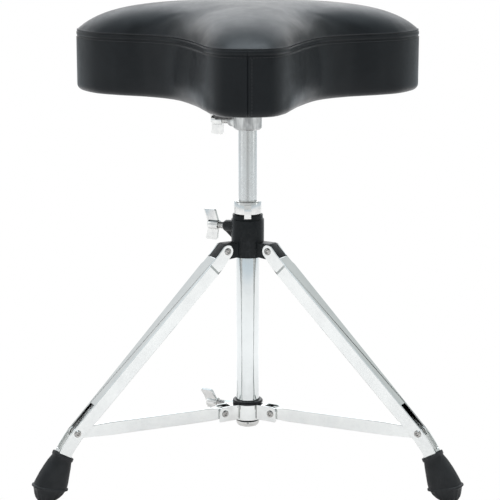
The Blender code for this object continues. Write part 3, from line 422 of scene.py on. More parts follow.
@dataclass(frozen=True)
class Drawn(Finish):
    """Satin plating on a drawn tube, with fine lines along Z and a line down its front: a slight weld groove
    whose dark colour is a painted reflection.
    """

    weld_and_reflection_half: float = 0.0011

    def paint(self, graph: Graph, shader: bpy.types.bpy_prop_collection, place: Socket) -> None:
        """Long fine lines, a soft line down the front that is a weld groove darkened as a painted reflection,
        rings where the clamp has rubbed.
        """
        patch = self.rub(graph, shader, place, 0.045)
        fine = graph.noise(graph.stretch(place, (900.0, 900.0, 12.0)), 1.0, 3.0, 0.55)
        # The dark line down the tube's front is a painted reflection, laid along a weld seam; the bump also
        # sinks it as a slight groove.
        split = graph.add("ShaderNodeSeparateXYZ")
        graph.feed(split.inputs[0], place)
        off = graph.calc("ABSOLUTE", split.outputs[0])
        near = graph.remap(off, (self.weld_and_reflection_half * 0.3, self.weld_and_reflection_half * 2.4), (1.0, 0.0))
        front = graph.calc("LESS_THAN", split.outputs[1], AXIS.y)
        weld_and_painted_reflection = graph.product(near, front, 0.55)
        rings = graph.noise(graph.stretch(place, (20.0, 20.0, 700.0)), 1.0, 2.0, 0.5)
        rings = graph.remap(rings, (0.58, 0.7), (0.0, 0.4))
        base = graph.tint(patch, self.rgba(), self.rgba(self.second))
        base = graph.tint(graph.remap(fine, (0.4, 0.7), (0.0, 0.35)), base, self.rgba(self.second))
        base = graph.tint(rings, base, self.rgba(self.second))
        # Painted reflection: the line down the front is darkened in the colour.
        graph.feed(shader["Base Color"], graph.tint(weld_and_painted_reflection, base, (0.3, 0.3, 0.29, 1.0)))
        height = graph.calc("ADD", fine, graph.calc("MULTIPLY", rings, 0.4))
        self.bump(graph, shader, graph.calc("SUBTRACT", height, weld_and_painted_reflection), 0.00004, 0.6)


@dataclass(frozen=True)
class Casting(Finish):
    """A die casting, raw or under a satin black coat."""

    relief: float = 0.00022
    bare: Color = (0.35, 0.35, 0.34)
    mottle: float = 1.0

    def paint(self, graph: Graph, shader: bpy.types.bpy_prop_collection, place: Socket) -> None:
        """Cast skin with flow marks, small pits, worn edges and dust."""
        patch = self.rub(graph, shader, place, 0.012)
        skin = graph.noise(place, 420.0, 6.0, 0.65)
        flow = graph.noise(graph.stretch(place, (130.0, 130.0, 26.0)), 1.0, 4.0, 0.6)
        flow = graph.remap(flow, (0.38, 0.62), (0.0, self.mottle))
        pits = graph.remap(graph.cells(place, 520.0, "F1"), (0.03, 0.12), (1.0, 0.0))
        wear = graph.shared(EFFECTS.wear(), Place=place, Amount=0.5, Grit=300.0).outputs[0]
        dust = graph.shared(EFFECTS.dust(), Place=place, Amount=0.06).outputs[0]
        base = graph.tint(flow, self.rgba(), self.rgba(self.second))
        base = graph.tint(graph.calc("MULTIPLY", patch, 0.3), base, self.rgba(self.second))
        base = graph.tint(wear, base, self.rgba(self.bare))
        graph.feed(shader["Base Color"], graph.tint(dust, base, PALE_DUST))
        height = graph.calc("SUBTRACT", skin, graph.calc("MULTIPLY", pits, 0.3))
        self.bump(graph, shader, height, self.relief, 0.5)


@dataclass(frozen=True)
class Moulded(Finish):
    """Moulded rubber or nylon."""

    texture: float = 900.0
    relief: float = 0.0001
    dusty: float = 0.08

    def paint(self, graph: Graph, shader: bpy.types.bpy_prop_collection, place: Socket) -> None:
        """Fine mould texture, scuffed edges, a little dust."""
        self.rub(graph, shader, place, 0.01)
        fine = graph.noise(place, self.texture, 4.0, 0.6)
        broad = graph.noise(place, 90.0, 3.0)
        scuff = graph.shared(EFFECTS.wear(), Place=place, Amount=0.45, Grit=260.0).outputs[0]
        lines = graph.shared(EFFECTS.scratches(), Place=place, Amount=0.25).outputs[0]
        dust = graph.shared(EFFECTS.dust(), Place=place, Amount=self.dusty).outputs[0]
        base = graph.tint(graph.remap(broad, (0.35, 0.65), (0.0, 1.0)), self.rgba(), self.rgba(self.second))
        base = graph.tint(graph.calc("MAXIMUM", scuff, lines), base, (0.075, 0.075, 0.078, 1.0))
        graph.feed(shader["Base Color"], graph.tint(dust, base, WARM_DUST))
        height = graph.calc("ADD", fine, graph.calc("MULTIPLY", broad, 0.8))
        self.bump(graph, shader, height, self.relief, 0.5)


@dataclass(frozen=True)
class Coated(Finish):
    """Powder coat with a faint orange peel."""

    def paint(self, graph: Graph, shader: bpy.types.bpy_prop_collection, place: Socket) -> None:
        """Orange peel, chipped edges and dust."""
        self.rub(graph, shader, place, 0.02)
        peel = graph.noise(place, 620.0, 2.0, 0.4)
        chips = graph.shared(EFFECTS.wear(), Place=place, Amount=0.8, Grit=420.0).outputs[0]
        dust = graph.shared(EFFECTS.dust(), Place=place, Amount=0.1).outputs[0]
        base = graph.tint(peel, self.rgba(), self.rgba(self.second))
        base = graph.tint(chips, base, (0.32, 0.31, 0.3, 1.0))
        graph.feed(shader["Base Color"], graph.tint(dust, base, WARM_DUST))
        self.bump(graph, shader, peel, 0.00012, 0.5)


@dataclass(frozen=True)
class Ply(Finish):
    """Raw plywood: long grain on its faces, layers on its edges."""

    def paint(self, graph: Graph, shader: bpy.types.bpy_prop_collection, place: Socket) -> None:
        """Grain along X, and stripes by height where the face looks sideways."""
        self.rub(graph, shader, place, 0.03)
        grain = graph.noise(graph.stretch(place, (8.0, 240.0, 60.0)), 1.0, 5.0, 0.65)
        geometry = graph.add("ShaderNodeSeparateXYZ")
        graph.feed(geometry.inputs[0], graph.add("ShaderNodeNewGeometry").outputs["Normal"])
        side = graph.calc("LESS_THAN", graph.calc("ABSOLUTE", geometry.outputs[2]), 0.5)
        height = graph.add("ShaderNodeSeparateXYZ")
        graph.feed(height.inputs[0], place)
        layer = graph.calc("PINGPONG", height.outputs[2], 0.0017)
        layer = graph.remap(layer, (0.0006, 0.0010), (0.0, 1.0))
        base = graph.tint(grain, self.rgba(), self.rgba(self.second))
        edge = graph.tint(layer, self.rgba(self.second), self.rgba())
        graph.feed(shader["Base Color"], graph.tint(side, base, edge))
        self.bump(graph, shader, grain, 0.0002, 0.5)


@dataclass(frozen=True)
class Nonwoven(Finish):
    """Thin pressed-fibre cloth."""

    def paint(self, graph: Graph, shader: bpy.types.bpy_prop_collection, place: Socket) -> None:
        """Fibres in two directions and the dots that bond them."""
        self.rub(graph, shader, place, 0.02)
        total: object = 0.0
        for turn in (0.5, 1.9):
            strands = graph.noise(graph.stretch(place, (1300.0, 90.0, 90.0), (0.0, 0.0, turn)), 1.0, 3.0, 0.6)
            total = graph.calc("ADD", total, graph.remap(strands, (0.45, 0.7), (0.0, 0.5)))
        dots = graph.remap(graph.cells(place, 330.0, "F1"), (0.15, 0.3), (0.0, 1.0))
        base = graph.tint(total, self.rgba(), self.rgba(self.second))
        graph.feed(shader["Base Color"], graph.tint(dots, self.rgba(), base))
        self.bump(graph, shader, graph.calc("MULTIPLY", total, dots), 0.0003, 0.7)


@dataclass(frozen=True)
class Twine(Finish):
    """Twisted sewing thread."""

    def paint(self, graph: Graph, shader: bpy.types.bpy_prop_collection, place: Socket) -> None:
        """Fine twist and a little fuzz."""
        self.rub(graph, shader, place, 0.004)
        twist = graph.noise(graph.stretch(place, (2600.0, 700.0, 2600.0), (0.0, 0.6, 0.6)), 1.0, 2.0)
        graph.feed(shader["Base Color"], graph.tint(twist, self.rgba(), self.rgba(self.second)))
        self.bump(graph, shader, twist, 0.00008, 0.7)


VINYL = Vinyl("seat_vinyl", Slot.VINYL, (0.0018, 0.0034, 0.0048), (0.0042, 0.0064, 0.0082), (0.3, 0.42),
              specular=0.21)
THREAD = Twine("black_thread", Slot.VINYL, (0.012, 0.012, 0.014), (0.03, 0.03, 0.033), (0.55, 0.75))
CHROME = Plated("bright_chrome", Slot.CHROME, (0.71, 0.725, 0.715), (0.64, 0.655, 0.65), (0.04, 0.13), 1.0)
TUBE_CHROME = Plated("tube_chrome", Slot.CHROME, (0.68, 0.705, 0.705), (0.62, 0.645, 0.645), (0.05, 0.14),
                     1.0, wave=0.00003, patch_size=0.06)
WING_CHROME = Plated("cast_chrome", Slot.CHROME, (0.69, 0.695, 0.68), (0.56, 0.565, 0.56), (0.06, 0.2), 1.0,
                     wave=0.0002, patch_size=0.008)
NICKEL = Drawn("satin_nickel", Slot.NICKEL, (0.7, 0.705, 0.69), (0.57, 0.575, 0.57), (0.2, 0.34), 1.0)
ZINC_CAST = Casting("raw_die_casting", Slot.CAST, (0.62, 0.63, 0.62), (0.27, 0.275, 0.275), (0.34, 0.55), 0.9,
                    bare=(0.6, 0.6, 0.59))
HUB_BLACK = Casting("satin_black_casting", Slot.HUB, (0.003, 0.0045, 0.0055), (0.005, 0.007, 0.008),
                    (0.26, 0.4), 0.0, 0.16, bare=(0.045, 0.047, 0.05), relief=0.00012)
NYLON = Moulded("gloss_nylon", Slot.PLASTIC, (0.003, 0.0036, 0.0042), (0.006, 0.0068, 0.0076), (0.16, 0.26),
                specular=0.2, relief=0.00003, dusty=0.02)
RUBBER = Moulded("boot_rubber", Slot.RUBBER, (0.008, 0.0093, 0.0105), (0.013, 0.0145, 0.016), (0.45, 0.62),
                 specular=0.22)
BLACK_STEEL = Coated("black_powder_coat", Slot.STEEL, (0.01, 0.01, 0.011), (0.016, 0.016, 0.017), (0.3, 0.45))
BRIGHT_ZINC = Plated("bright_zinc", Slot.BOLT, (0.5, 0.49, 0.47), (0.26, 0.255, 0.25), (0.12, 0.28), 1.0,
                     wave=0.0001, patch_size=0.004)
PLYWOOD = Ply("raw_plywood", Slot.BOARD, (0.5, 0.34, 0.19), (0.33, 0.2, 0.1), (0.6, 0.8))
DUST_CLOTH = Nonwoven("pressed_cloth", Slot.DUST, (0.01, 0.01, 0.011), (0.03, 0.03, 0.032), (0.8, 0.95),
                      specular=0.2)


# ------------------------------------------------------------------------------ mesh making


def object_from(name: str, mesh: bpy.types.Mesh) -> bpy.types.Object:
    """Link a new object at the origin for a mesh."""
    piece = bpy.data.objects.new(name, mesh)
    bpy.context.scene.collection.objects.link(piece)
    return piece


def settled(piece: bpy.types.Object) -> bpy.types.Object:
    """Turn an object's evaluated shape into its plain mesh and drop its modifiers."""
    depsgraph = bpy.context.evaluated_depsgraph_get()
    mesh = bpy.data.meshes.new_from_object(piece.evaluated_get(depsgraph), depsgraph=depsgraph)
    piece.modifiers.clear()
    old, piece.data = piece.data, mesh
    mesh.name = piece.name
    bpy.data.meshes.remove(old)
    return piece


def dressed(piece: bpy.types.Object, finish: Finish, body: str, *replaced: str,
            smooth: float = 38.0) -> bpy.types.Object:
    """Finish a piece: its material, its shading, its body and the CAD nodes that it stands for.

    Args:
        piece: The piece, with its place in its mesh.
        finish: Its finish.
        body: The CAD body that carries it.
        replaced: CAD nodes that it stands for.
        smooth: Edges sharper than this many degrees stay crisp.

    Returns:
        The piece.
    """
    piece.data.materials.clear()
    piece.data.materials.append(finish.material())
    piece.data.shade_smooth()
    piece.data.set_sharp_from_angle(angle=math.radians(smooth))
    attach(piece, body)
    if replaced:
        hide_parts(*replaced)
    LOG.info("%s: %d faces on %s", piece.name, len(piece.data.polygons), body)
    return piece


def mesh_of(rings: Sequence[Sequence[Point]], looped: bool = False, frame_to: Optional[Matrix] = None
            ) -> bpy.types.Mesh:
    """Skin rings of equal count into a closed mesh whose faces point outwards.

    Args:
        rings: The rings, each a closed run of points.
        looped: Join the last ring to the first, where the ends otherwise close with a fan.
        frame_to: A frame to carry the mesh into.

    Returns:
        The mesh.
    """
    bm = bmesh.new()
    layers = [[bm.verts.new(point) for point in ring] for ring in rings]
    count = len(layers[0])
    pairs = list(zip(layers, layers[1:]))
    if looped:
        pairs.append((layers[-1], layers[0]))
    for low, high in pairs:
        for i in range(count):
            j = (i + 1) % count
            bm.faces.new((low[i], low[j], high[j], high[i]))
    if not looped:
        for layer in (layers[0], layers[-1]):
            middle = bm.verts.new(sum((vert.co for vert in layer), Vector()) / count)
            for i in range(count):
                bm.faces.new((layer[i], layer[(i + 1) % count], middle))
    if frame_to is not None:
        bm.transform(frame_to)
    bmesh.ops.recalc_face_normals(bm, faces=bm.faces)
    mesh = bpy.data.meshes.new("shape")
    bm.to_mesh(mesh)
    bm.free()
    return mesh


def turned(profile: Sequence[Point], sides: int = 96, looped: bool = False,
           frame_to: Optional[Matrix] = None) -> bpy.types.Mesh:
    """A shape turned about Z from (radius, height) points."""
    rings = []
    for radius, height in profile:
        ring = []
        for i in range(sides):
            angle = 2 * math.pi * i / sides
            ring.append((radius * math.cos(angle), radius * math.sin(angle), height))
        rings.append(ring)
    return mesh_of(rings, looped, frame_to)


def pipe(radius: float, wall: float, low: float, high: float, edge: float) -> bpy.types.Mesh:
    """A tube on the throne's axis, from a low to a high end, with its ends' edges rounded."""
    outline = [(radius, low), (radius, high), (radius - wall, high), (radius - wall, low)]
    return turned(rounded(outline, edge), 96, True, Matrix.Translation(AXIS))


def rounded(profile: Sequence[Point], radius: float, steps: int = 3, closed: bool = True) -> list[Point]:
    """Round the corners of an outline.

    Args:
        profile: The outline's points.
        radius: The most that a corner is cut back along each of its sides.
        steps: Points on each rounded corner, less one.
        closed: Round the first and last points too.

    Returns:
        The outline with a short curve in place of each corner.
    """
    points = [Vector(point) for point in profile]
    count = len(points)
    result: list[Point] = []
    for i, corner in enumerate(points):
        if not closed and i in (0, count - 1):
            result.append(tuple(corner))
            continue
        before, after = points[i - 1] - corner, points[(i + 1) % count] - corner
        cut = min(radius, 0.45 * before.length, 0.45 * after.length)
        start, end = corner + before.normalized() * cut, corner + after.normalized() * cut
        for k in range(steps + 1):
            t = k / steps
            result.append(tuple(start * (1 - t) ** 2 + corner * 2 * t * (1 - t) + end * t ** 2))
    return result


def joined_mesh(name: str, meshes: Iterable[bpy.types.Mesh]) -> bpy.types.Object:
    """One object from several meshes."""
    bm = bmesh.new()
    for mesh in meshes:
        bm.from_mesh(mesh)
    result = bpy.data.meshes.new(name)
    bm.to_mesh(result)
    bm.free()
    return object_from(name, result)


def softened(node: str, name: str, width: float, segments: int = 2, limit: float = 34.0,
             clamp: bool = True) -> bpy.types.Object:
    """A copy of a CAD node with its edges rolled over, as a press or a mould leaves them.

    Args:
        node: The CAD node.
        name: The new piece's name.
        width: How far back from each edge the roll starts.
        segments: Faces across each roll.
        limit: Edges sharper than this many degrees are rolled.
        clamp: Hold every roll back to the shortest edge's length.

    Returns:
        The piece.
    """
    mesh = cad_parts[node].data.copy()
    for attribute in ("custom_normal", "sharp_edge", "sharp_face"):
        if attribute in mesh.attributes:
            mesh.attributes.remove(mesh.attributes[attribute])
    bm = bmesh.new()
    bm.from_mesh(mesh)
    bmesh.ops.remove_doubles(bm, verts=bm.verts, dist=4e-6)
    bmesh.ops.dissolve_limit(bm, angle_limit=math.radians(0.5), verts=bm.verts, edges=bm.edges)
    bmesh.ops.recalc_face_normals(bm, faces=bm.faces)
    bm.to_mesh(mesh)
    bm.free()
    piece = object_from(name, mesh)
    roll = piece.modifiers.new("roll", "BEVEL")
    roll.limit_method = "ANGLE"
    roll.angle_limit = math.radians(limit)
    roll.width = width
    roll.segments = segments
    roll.use_clamp_overlap = clamp
    roll.harden_normals = False
    piece.data.shade_smooth()
    return settled(piece)


# ------------------------------------------------------------------------------ repeats


class NodeTool:
    """A Geometry Nodes tree with named sizes that makes something repeated."""

    def __init__(self, name: str, inputs: dict[str, str]) -> None:
        """Start a tree with a geometry input, the named inputs and a geometry output.

        Args:
            name: The tree's name.
            inputs: Each input's name and socket type.
        """
        self.tree = bpy.data.node_groups.new(name, "GeometryNodeTree")
        self.tree.interface.new_socket("Geometry", in_out="INPUT", socket_type="NodeSocketGeometry")
        for title, kind in inputs.items():
            self.tree.interface.new_socket(title, in_out="INPUT", socket_type=kind)
        self.tree.interface.new_socket("Geometry", in_out="OUTPUT", socket_type="NodeSocketGeometry")
        self.graph = Graph(self.tree)
        self.given = self.graph.add("NodeGroupInput").outputs
        self.result = self.graph.add("NodeGroupOutput").inputs[0]

    def close(self, geometry: Socket) -> None:
        """Realize the instances, set the material and end the tree."""
        real = self.graph.add("GeometryNodeRealizeInstances")
        self.graph.feed(real.inputs[0], geometry)
        paint = self.graph.add("GeometryNodeSetMaterial")
        self.graph.feed(paint.inputs["Geometry"], real.outputs[0])
        self.graph.feed(paint.inputs["Material"], self.given["Material"])
        self.graph.feed(self.result, paint.outputs[0])

    def run(self, name: str, source: bpy.types.Mesh, **values: object) -> bpy.types.Object:
        """Apply the tree to a mesh.

        Args:
            name: The new piece's name.
            source: The mesh that the tree starts from.
            values: The inputs, by name with _ for a space.

        Returns:
            The piece, as a plain mesh.
        """
        piece = object_from(name, source)
        modifier = piece.modifiers.new("repeat", "NODES")
        modifier.node_group = self.tree
        for item in self.tree.interface.items_tree:
            key = item.name.replace(" ", "_")
            if item.item_type == "SOCKET" and item.in_out == "INPUT" and key in values:
                modifier[item.identifier] = values[key]
        return settled(piece)


class Along(NodeTool):
    """Copies of one small shape at even steps along a line, each turned to lie along it."""

    def __init__(self) -> None:
        """Build the tree."""
        super().__init__("copies along a line", {
            "Step": "NodeSocketFloat", "Shape": "NodeSocketObject", "Up": "NodeSocketVector",
            "Material": "NodeSocketMaterial"})
        graph = self.graph
        curve = graph.add("GeometryNodeMeshToCurve")
        graph.feed(curve.inputs[0], self.given["Geometry"])
        even = graph.add("GeometryNodeResampleCurve", mode="LENGTH")
        graph.feed(even.inputs["Curve"], curve.outputs[0])
        graph.feed(even.inputs["Length"], self.given["Step"])
        shape = graph.add("GeometryNodeObjectInfo")
        graph.feed(shape.inputs["Object"], self.given["Shape"])
        first = graph.add("FunctionNodeAlignRotationToVector", axis="X")
        graph.feed(first.inputs["Vector"], graph.add("GeometryNodeInputTangent").outputs[0])
        second = graph.add("FunctionNodeAlignRotationToVector", axis="Z", pivot_axis="X")
        graph.feed(second.inputs["Rotation"], first.outputs[0])
        graph.feed(second.inputs["Vector"], self.given["Up"])
        copies = graph.add("GeometryNodeInstanceOnPoints")
        graph.feed(copies.inputs["Points"], even.outputs[0])
        graph.feed(copies.inputs["Instance"], shape.outputs["Geometry"])
        graph.feed(copies.inputs["Rotation"], second.outputs[0])
        self.close(copies.outputs[0])


class AtPoints(NodeTool):
    """Copies of one small shape at marked points, each facing the way its point says."""

    def __init__(self) -> None:
        """Build the tree."""
        super().__init__("copies at points", {
            "Shape": "NodeSocketObject", "Material": "NodeSocketMaterial"})
        graph = self.graph
        shape = graph.add("GeometryNodeObjectInfo")
        graph.feed(shape.inputs["Object"], self.given["Shape"])
        facing = graph.add("GeometryNodeInputNamedAttribute", data_type="FLOAT_VECTOR")
        facing.inputs["Name"].default_value = "facing"
        turn = graph.add("FunctionNodeAlignRotationToVector", axis="Z")
        graph.feed(turn.inputs["Vector"], facing.outputs[0])
        copies = graph.add("GeometryNodeInstanceOnPoints")
        graph.feed(copies.inputs["Points"], self.given["Geometry"])
        graph.feed(copies.inputs["Instance"], shape.outputs["Geometry"])
        graph.feed(copies.inputs["Rotation"], turn.outputs[0])
        self.close(copies.outputs[0])

    def place(self, name: str, shape: bpy.types.Object, spots: Sequence[tuple[Vector, Vector]],
              finish: Finish) -> bpy.types.Object:
        """Copy a shape to spots.

        Args:
            name: The new piece's name.
            shape: The shape, about its own Z axis.
            spots: Each copy's place and the way that it faces.
            finish: The copies' finish.

        Returns:
            The piece.
        """
        mesh = bpy.data.meshes.new("spots")
        mesh.from_pydata([tuple(spot) for spot, _ in spots], [], [])
        facing = mesh.attributes.new("facing", "FLOAT_VECTOR", "POINT")
        facing.data.foreach_set("vector", [value for _, way in spots for value in way])
        return self.run(name, mesh, Shape=shape, Material=finish.material())


class ScrewThread(NodeTool):
    """A screw's thread: a ridge wound round Z."""

    def __init__(self) -> None:
        """Build the tree."""
        super().__init__("screw thread", {
            "Radius": "NodeSocketFloat", "Length": "NodeSocketFloat", "Turns": "NodeSocketFloat",
            "Ridge": "NodeSocketFloat", "Material": "NodeSocketMaterial"})
        graph = self.graph
        coil = graph.add("GeometryNodeCurveSpiral")
        coil.inputs["Resolution"].default_value = 22
        graph.feed(coil.inputs["Rotations"], self.given["Turns"])
        graph.feed(coil.inputs["Start Radius"], self.given["Radius"])
        graph.feed(coil.inputs["End Radius"], self.given["Radius"])
        graph.feed(coil.inputs["Height"], self.given["Length"])
        section = graph.add("GeometryNodeCurvePrimitiveCircle", mode="RADIUS")
        section.inputs["Resolution"].default_value = 5
        graph.feed(section.inputs["Radius"], self.given["Ridge"])
        sweep = graph.add("GeometryNodeCurveToMesh")
        graph.feed(sweep.inputs["Curve"], coil.outputs[0])
        graph.feed(sweep.inputs["Profile Curve"], section.outputs[0])
        sweep.inputs["Fill Caps"].default_value = True
        self.close(sweep.outputs[0])


@dataclass
class Repeats:
    """The repeat trees that the sub-assemblies share."""

    along: Along = field(default_factory=Along)
    at_points: AtPoints = field(default_factory=AtPoints)
    thread: ScrewThread = field(default_factory=ScrewThread)


def line_mesh(points: Sequence[Point], closed: bool) -> bpy.types.Mesh:
    """A run of edges through points, open or closed."""
    mesh = bpy.data.meshes.new("line")
    count = len(points)
    edges = [(i, (i + 1) % count) for i in range(count if closed else count - 1)]
    mesh.from_pydata([tuple(point) for point in points], edges, [])
    return mesh


def capsule(length: float, radius: float, sides: int = 6) -> bpy.types.Object:
    """A small rounded bar along X, as a stitch or a staple's crown."""
    half = length / 2
    profile = [(0.35 * radius, -half), (0.8 * radius, -half + 0.25 * radius), (radius, -half + radius),
               (radius, half - radius), (0.8 * radius, half - 0.25 * radius), (0.35 * radius, half)]
    mesh = turned(profile, sides, frame_to=Matrix.Rotation(math.pi / 2, 4, "Y"))
    return object_from("small_shape", mesh)


def discard(*pieces: bpy.types.Object) -> None:
    """Remove helper objects."""
    for piece in pieces:
        bpy.data.objects.remove(piece)


# ------------------------------------------------------------------------------ the cushion


def spline(grid: np.ndarray, spots: np.ndarray, axis: int, periodic: bool) -> np.ndarray:
    """Sample a grid of points at fractional places along one axis, on a smooth curve.

    Args:
        grid: The points, with the coordinates on the last axis.
        spots: The fractional places.
        axis: The axis to sample along.
        periodic: The axis closes on itself.

    Returns:
        The sampled grid.
    """
    grid = np.moveaxis(grid, axis, 0)
    count = len(grid)
    base = np.floor(spots).astype(int)
    t = (spots - base).reshape((-1,) + (1,) * (grid.ndim - 1))

    def pick(offset: int) -> np.ndarray:
        """The neighbours at an offset."""
        index = base + offset
        return grid[index % count] if periodic else grid[np.clip(index, 0, count - 1)]

    p0, p1, p2, p3 = pick(-1), pick(0), pick(1), pick(2)
    curve = 0.5 * (2 * p1 + (p2 - p0) * t + (2 * p0 - 5 * p1 + 4 * p2 - p3) * t ** 2
                   + (3 * p1 - p0 - 3 * p2 + p3) * t ** 3)
    return np.moveaxis(curve, 0, axis)


def bell(distance: np.ndarray, width: float) -> np.ndarray:
    """A smooth hump that is 1 at zero distance and fades past a width."""
    return np.exp(-((distance / width) ** 2))


@dataclass
class Cushion:
    """The padded seat: its vinyl cover, welt, stitches and staples."""

    repeats: Repeats
    half_width: float = 0.2125
    nose: float = 0.187
    tail: float = 0.178
    underside: float = 0.459
    seam: float = 0.527
    welt_height: float = 0.006
    groove: float = 0.0011
    seam_depth: float = 0.0008
    seam_half: float = 0.0006
    pucker: float = 0.0004
    ripple: float = 0.0005
    ripple_waves: int = 9
    stitch_length: float = 0.0026
    stitch_radius: float = 0.00028
    stitch_step: float = 0.0036
    stitch_lift: float = 0.00005
    staple_length: float = 0.0095
    staple_radius: float = 0.0005
    staple_step: float = 0.024
    hem_lip: float = 0.002
    crown: float = 0.036
    crown_power: float = 5.8
    crown_spread: float = 1.25
    crown_reach: float = 0.985
    easing: float = 0.62
    hem: float = 0.025
    corner: float = 0.008
    cap: float = 0.0042
    board_top: float = 0.4737
    outline_knots: tuple[Point, ...] = (
        (0.0, -1.0), (0.135, -0.965), (0.21, -0.84), (0.255, -0.66), (0.315, -0.42), (0.42, -0.14),
        (0.57, 0.02), (0.76, 0.13), (0.9, 0.25), (1.0, 0.47), (0.985, 0.66), (0.88, 0.84),
        (0.68, 0.955), (0.36, 1.0))
    columns: int = 320
    fine_columns: int = 560
    band_rows: int = 14
    crown_rows: int = 34
    cloth_frames: int = 20
    shift_blurs: int = 10

    def outline(self) -> np.ndarray:
        """The seat's outline in plan, from the nose round, at even steps."""
        half = [(x * self.half_width, y * (self.nose if y < 0 else self.tail)) for x, y in self.outline_knots]
        knots = np.array(half + [(-x, y) for x, y in reversed(half[1:])])
        dense = spline(knots, np.arange(0, len(knots), 0.02), 0, True)
        steps = np.linalg.norm(np.roll(dense, -1, 0) - dense, axis=1)
        along = np.concatenate([[0.0], np.cumsum(steps)])
        even = np.linspace(0.0, along[-1], self.columns, endpoint=False)
        spots = np.interp(even, along, np.arange(len(along)))
        return spline(dense, spots, 0, True)

    def ring(self, inset: float, height: float, share: float = 1.0) -> np.ndarray:
        """The outline drawn in by an inset, shrunk to a share about the seat's middle, at a height."""
        plan = self.eased(self.outline(), share)
        side = np.roll(plan, -1, 0) - np.roll(plan, 1, 0)
        side /= np.linalg.norm(side, axis=1)[:, None]
        drawn = plan + inset * np.stack([-side[:, 1], side[:, 0]], 1)
        middle = np.array([0.0, self.tail / 3])
        drawn = middle + (drawn - middle) * share
        ring = np.column_stack([drawn, np.full(len(drawn), height)])
        ring[:, 1] += AXIS.y
        return ring

    def eased(self, plan: np.ndarray, share: float) -> np.ndarray:
        """The outline with its bends rounded off, more so for smaller shares of its size."""
        waves = np.fft.fft(plan[:, 0] + 1j * plan[:, 1])
        count = np.abs(np.fft.fftfreq(len(plan), 1 / len(plan)))
        soft = np.fft.ifft(waves * np.exp(-(count * (1 - share) * self.easing) ** 2))
        return np.stack([soft.real, soft.imag], 1)

    def skin(self) -> tuple[np.ndarray, list[int]]:
        """The cover's outer skin before it is filled.

        Returns:
            The grid of rings from the hem to the crown's middle, and the rows that are sewn down.
        """
        low, corner = self.underside, self.corner
        rings = [self.ring(self.hem, low), self.ring(0.6 * self.hem, low), self.ring(corner + 0.003, low)]
        for k in range(1, 5):
            angle = math.radians(90 * k / 4 - 11)
            rings.append(self.ring(corner * (1 - math.sin(angle)), low + corner * (1 - math.cos(angle))))
        sewn = [0, 1, 2, 3]
        start, top = low + corner, self.seam
        for k in range(1, self.band_rows + 1):
            rings.append(self.ring(0.0, start + (top - start) * k / self.band_rows))
        sewn.append(len(rings) - 1)
        base = top + self.welt_height
        rings.append(self.ring(0.0, base))
        sewn.append(len(rings) - 1)
        for k in range(1, self.crown_rows + 1):
            share = 1.0 - (k / self.crown_rows) ** self.crown_spread * self.crown_reach
            rings.append(self.ring(0.0, base + self.crown * (1 - share ** self.crown_power), share))
        return np.array(rings), sewn

    def filled(self, grid: np.ndarray, sewn: list[int]) -> np.ndarray:
        """The skin after the foam has pushed it out, by a cloth simulation.

        Args:
            grid: The skin's grid of points.
            sewn: The rows that stay where they are.

        Returns:
            The grid, with each point moved no further than the cap.
        """
        rows, columns = grid.shape[:2]
        mesh = bpy.data.meshes.new("skin")
        faces = []
        for r in range(rows - 1):
            for c in range(columns):
                d = (c + 1) % columns
                faces.append((r * columns + c, r * columns + d, (r + 1) * columns + d, (r + 1) * columns + c))
        mesh.from_pydata(grid.reshape(-1, 3).tolist(), [], faces)
        skin = object_from("skin", mesh)
        pins = skin.vertex_groups.new(name="sewn")
        pins.add([r * columns + c for r in sewn for c in range(columns)], 1.0, "REPLACE")
        pins.add([(rows - 1) * columns + c for c in range(columns)], 0.05, "REPLACE")
        cloth = skin.modifiers.new("fill", "CLOTH")
        settings = cloth.settings
        settings.quality = 5
        settings.mass = 0.35
        settings.tension_stiffness = 18.0
        settings.compression_stiffness = 12.0
        settings.shear_stiffness = 8.0
        settings.bending_stiffness = 1.2
        settings.use_pressure = True
        settings.uniform_pressure_force = 4.0
        settings.effector_weights.gravity = 0.0
        settings.vertex_group_mass = "sewn"
        cloth.collision_settings.use_collision = False
        cloth.collision_settings.use_self_collision = False
        cloth.point_cache.frame_start = 1
        cloth.point_cache.frame_end = self.cloth_frames
        for step in range(1, self.cloth_frames + 1):
            bpy.context.scene.frame_set(step)
        evaluated = skin.evaluated_get(bpy.context.evaluated_depsgraph_get()).data
        moved = np.zeros(rows * columns * 3, np.float32)
        evaluated.vertices.foreach_get("co", moved)
        bpy.context.scene.frame_set(1)
        discard(skin)
        shift = moved.reshape(rows, columns, 3).astype(float) - grid
        for _ in range(self.shift_blurs):
            shift = 0.5 * shift + 0.25 * (np.roll(shift, 1, 1) + np.roll(shift, -1, 1))
        length = np.linalg.norm(shift, axis=2)
        LOG.info("cloth moved at most %.1f mm", 1000 * length.max())
        scale = self.cap * np.tanh(length / self.cap) / np.maximum(length, 1e-9)
        return grid + shift * scale[:, :, None]

    @staticmethod
    def normals(grid: np.ndarray) -> np.ndarray:
        """Outward normals of a grid whose columns close on themselves."""
        along = np.roll(grid, -1, 1) - np.roll(grid, 1, 1)
        up = np.gradient(grid, axis=0)
        normal = np.cross(along, up)
        return normal / np.maximum(np.linalg.norm(normal, axis=2), 1e-12)[:, :, None]

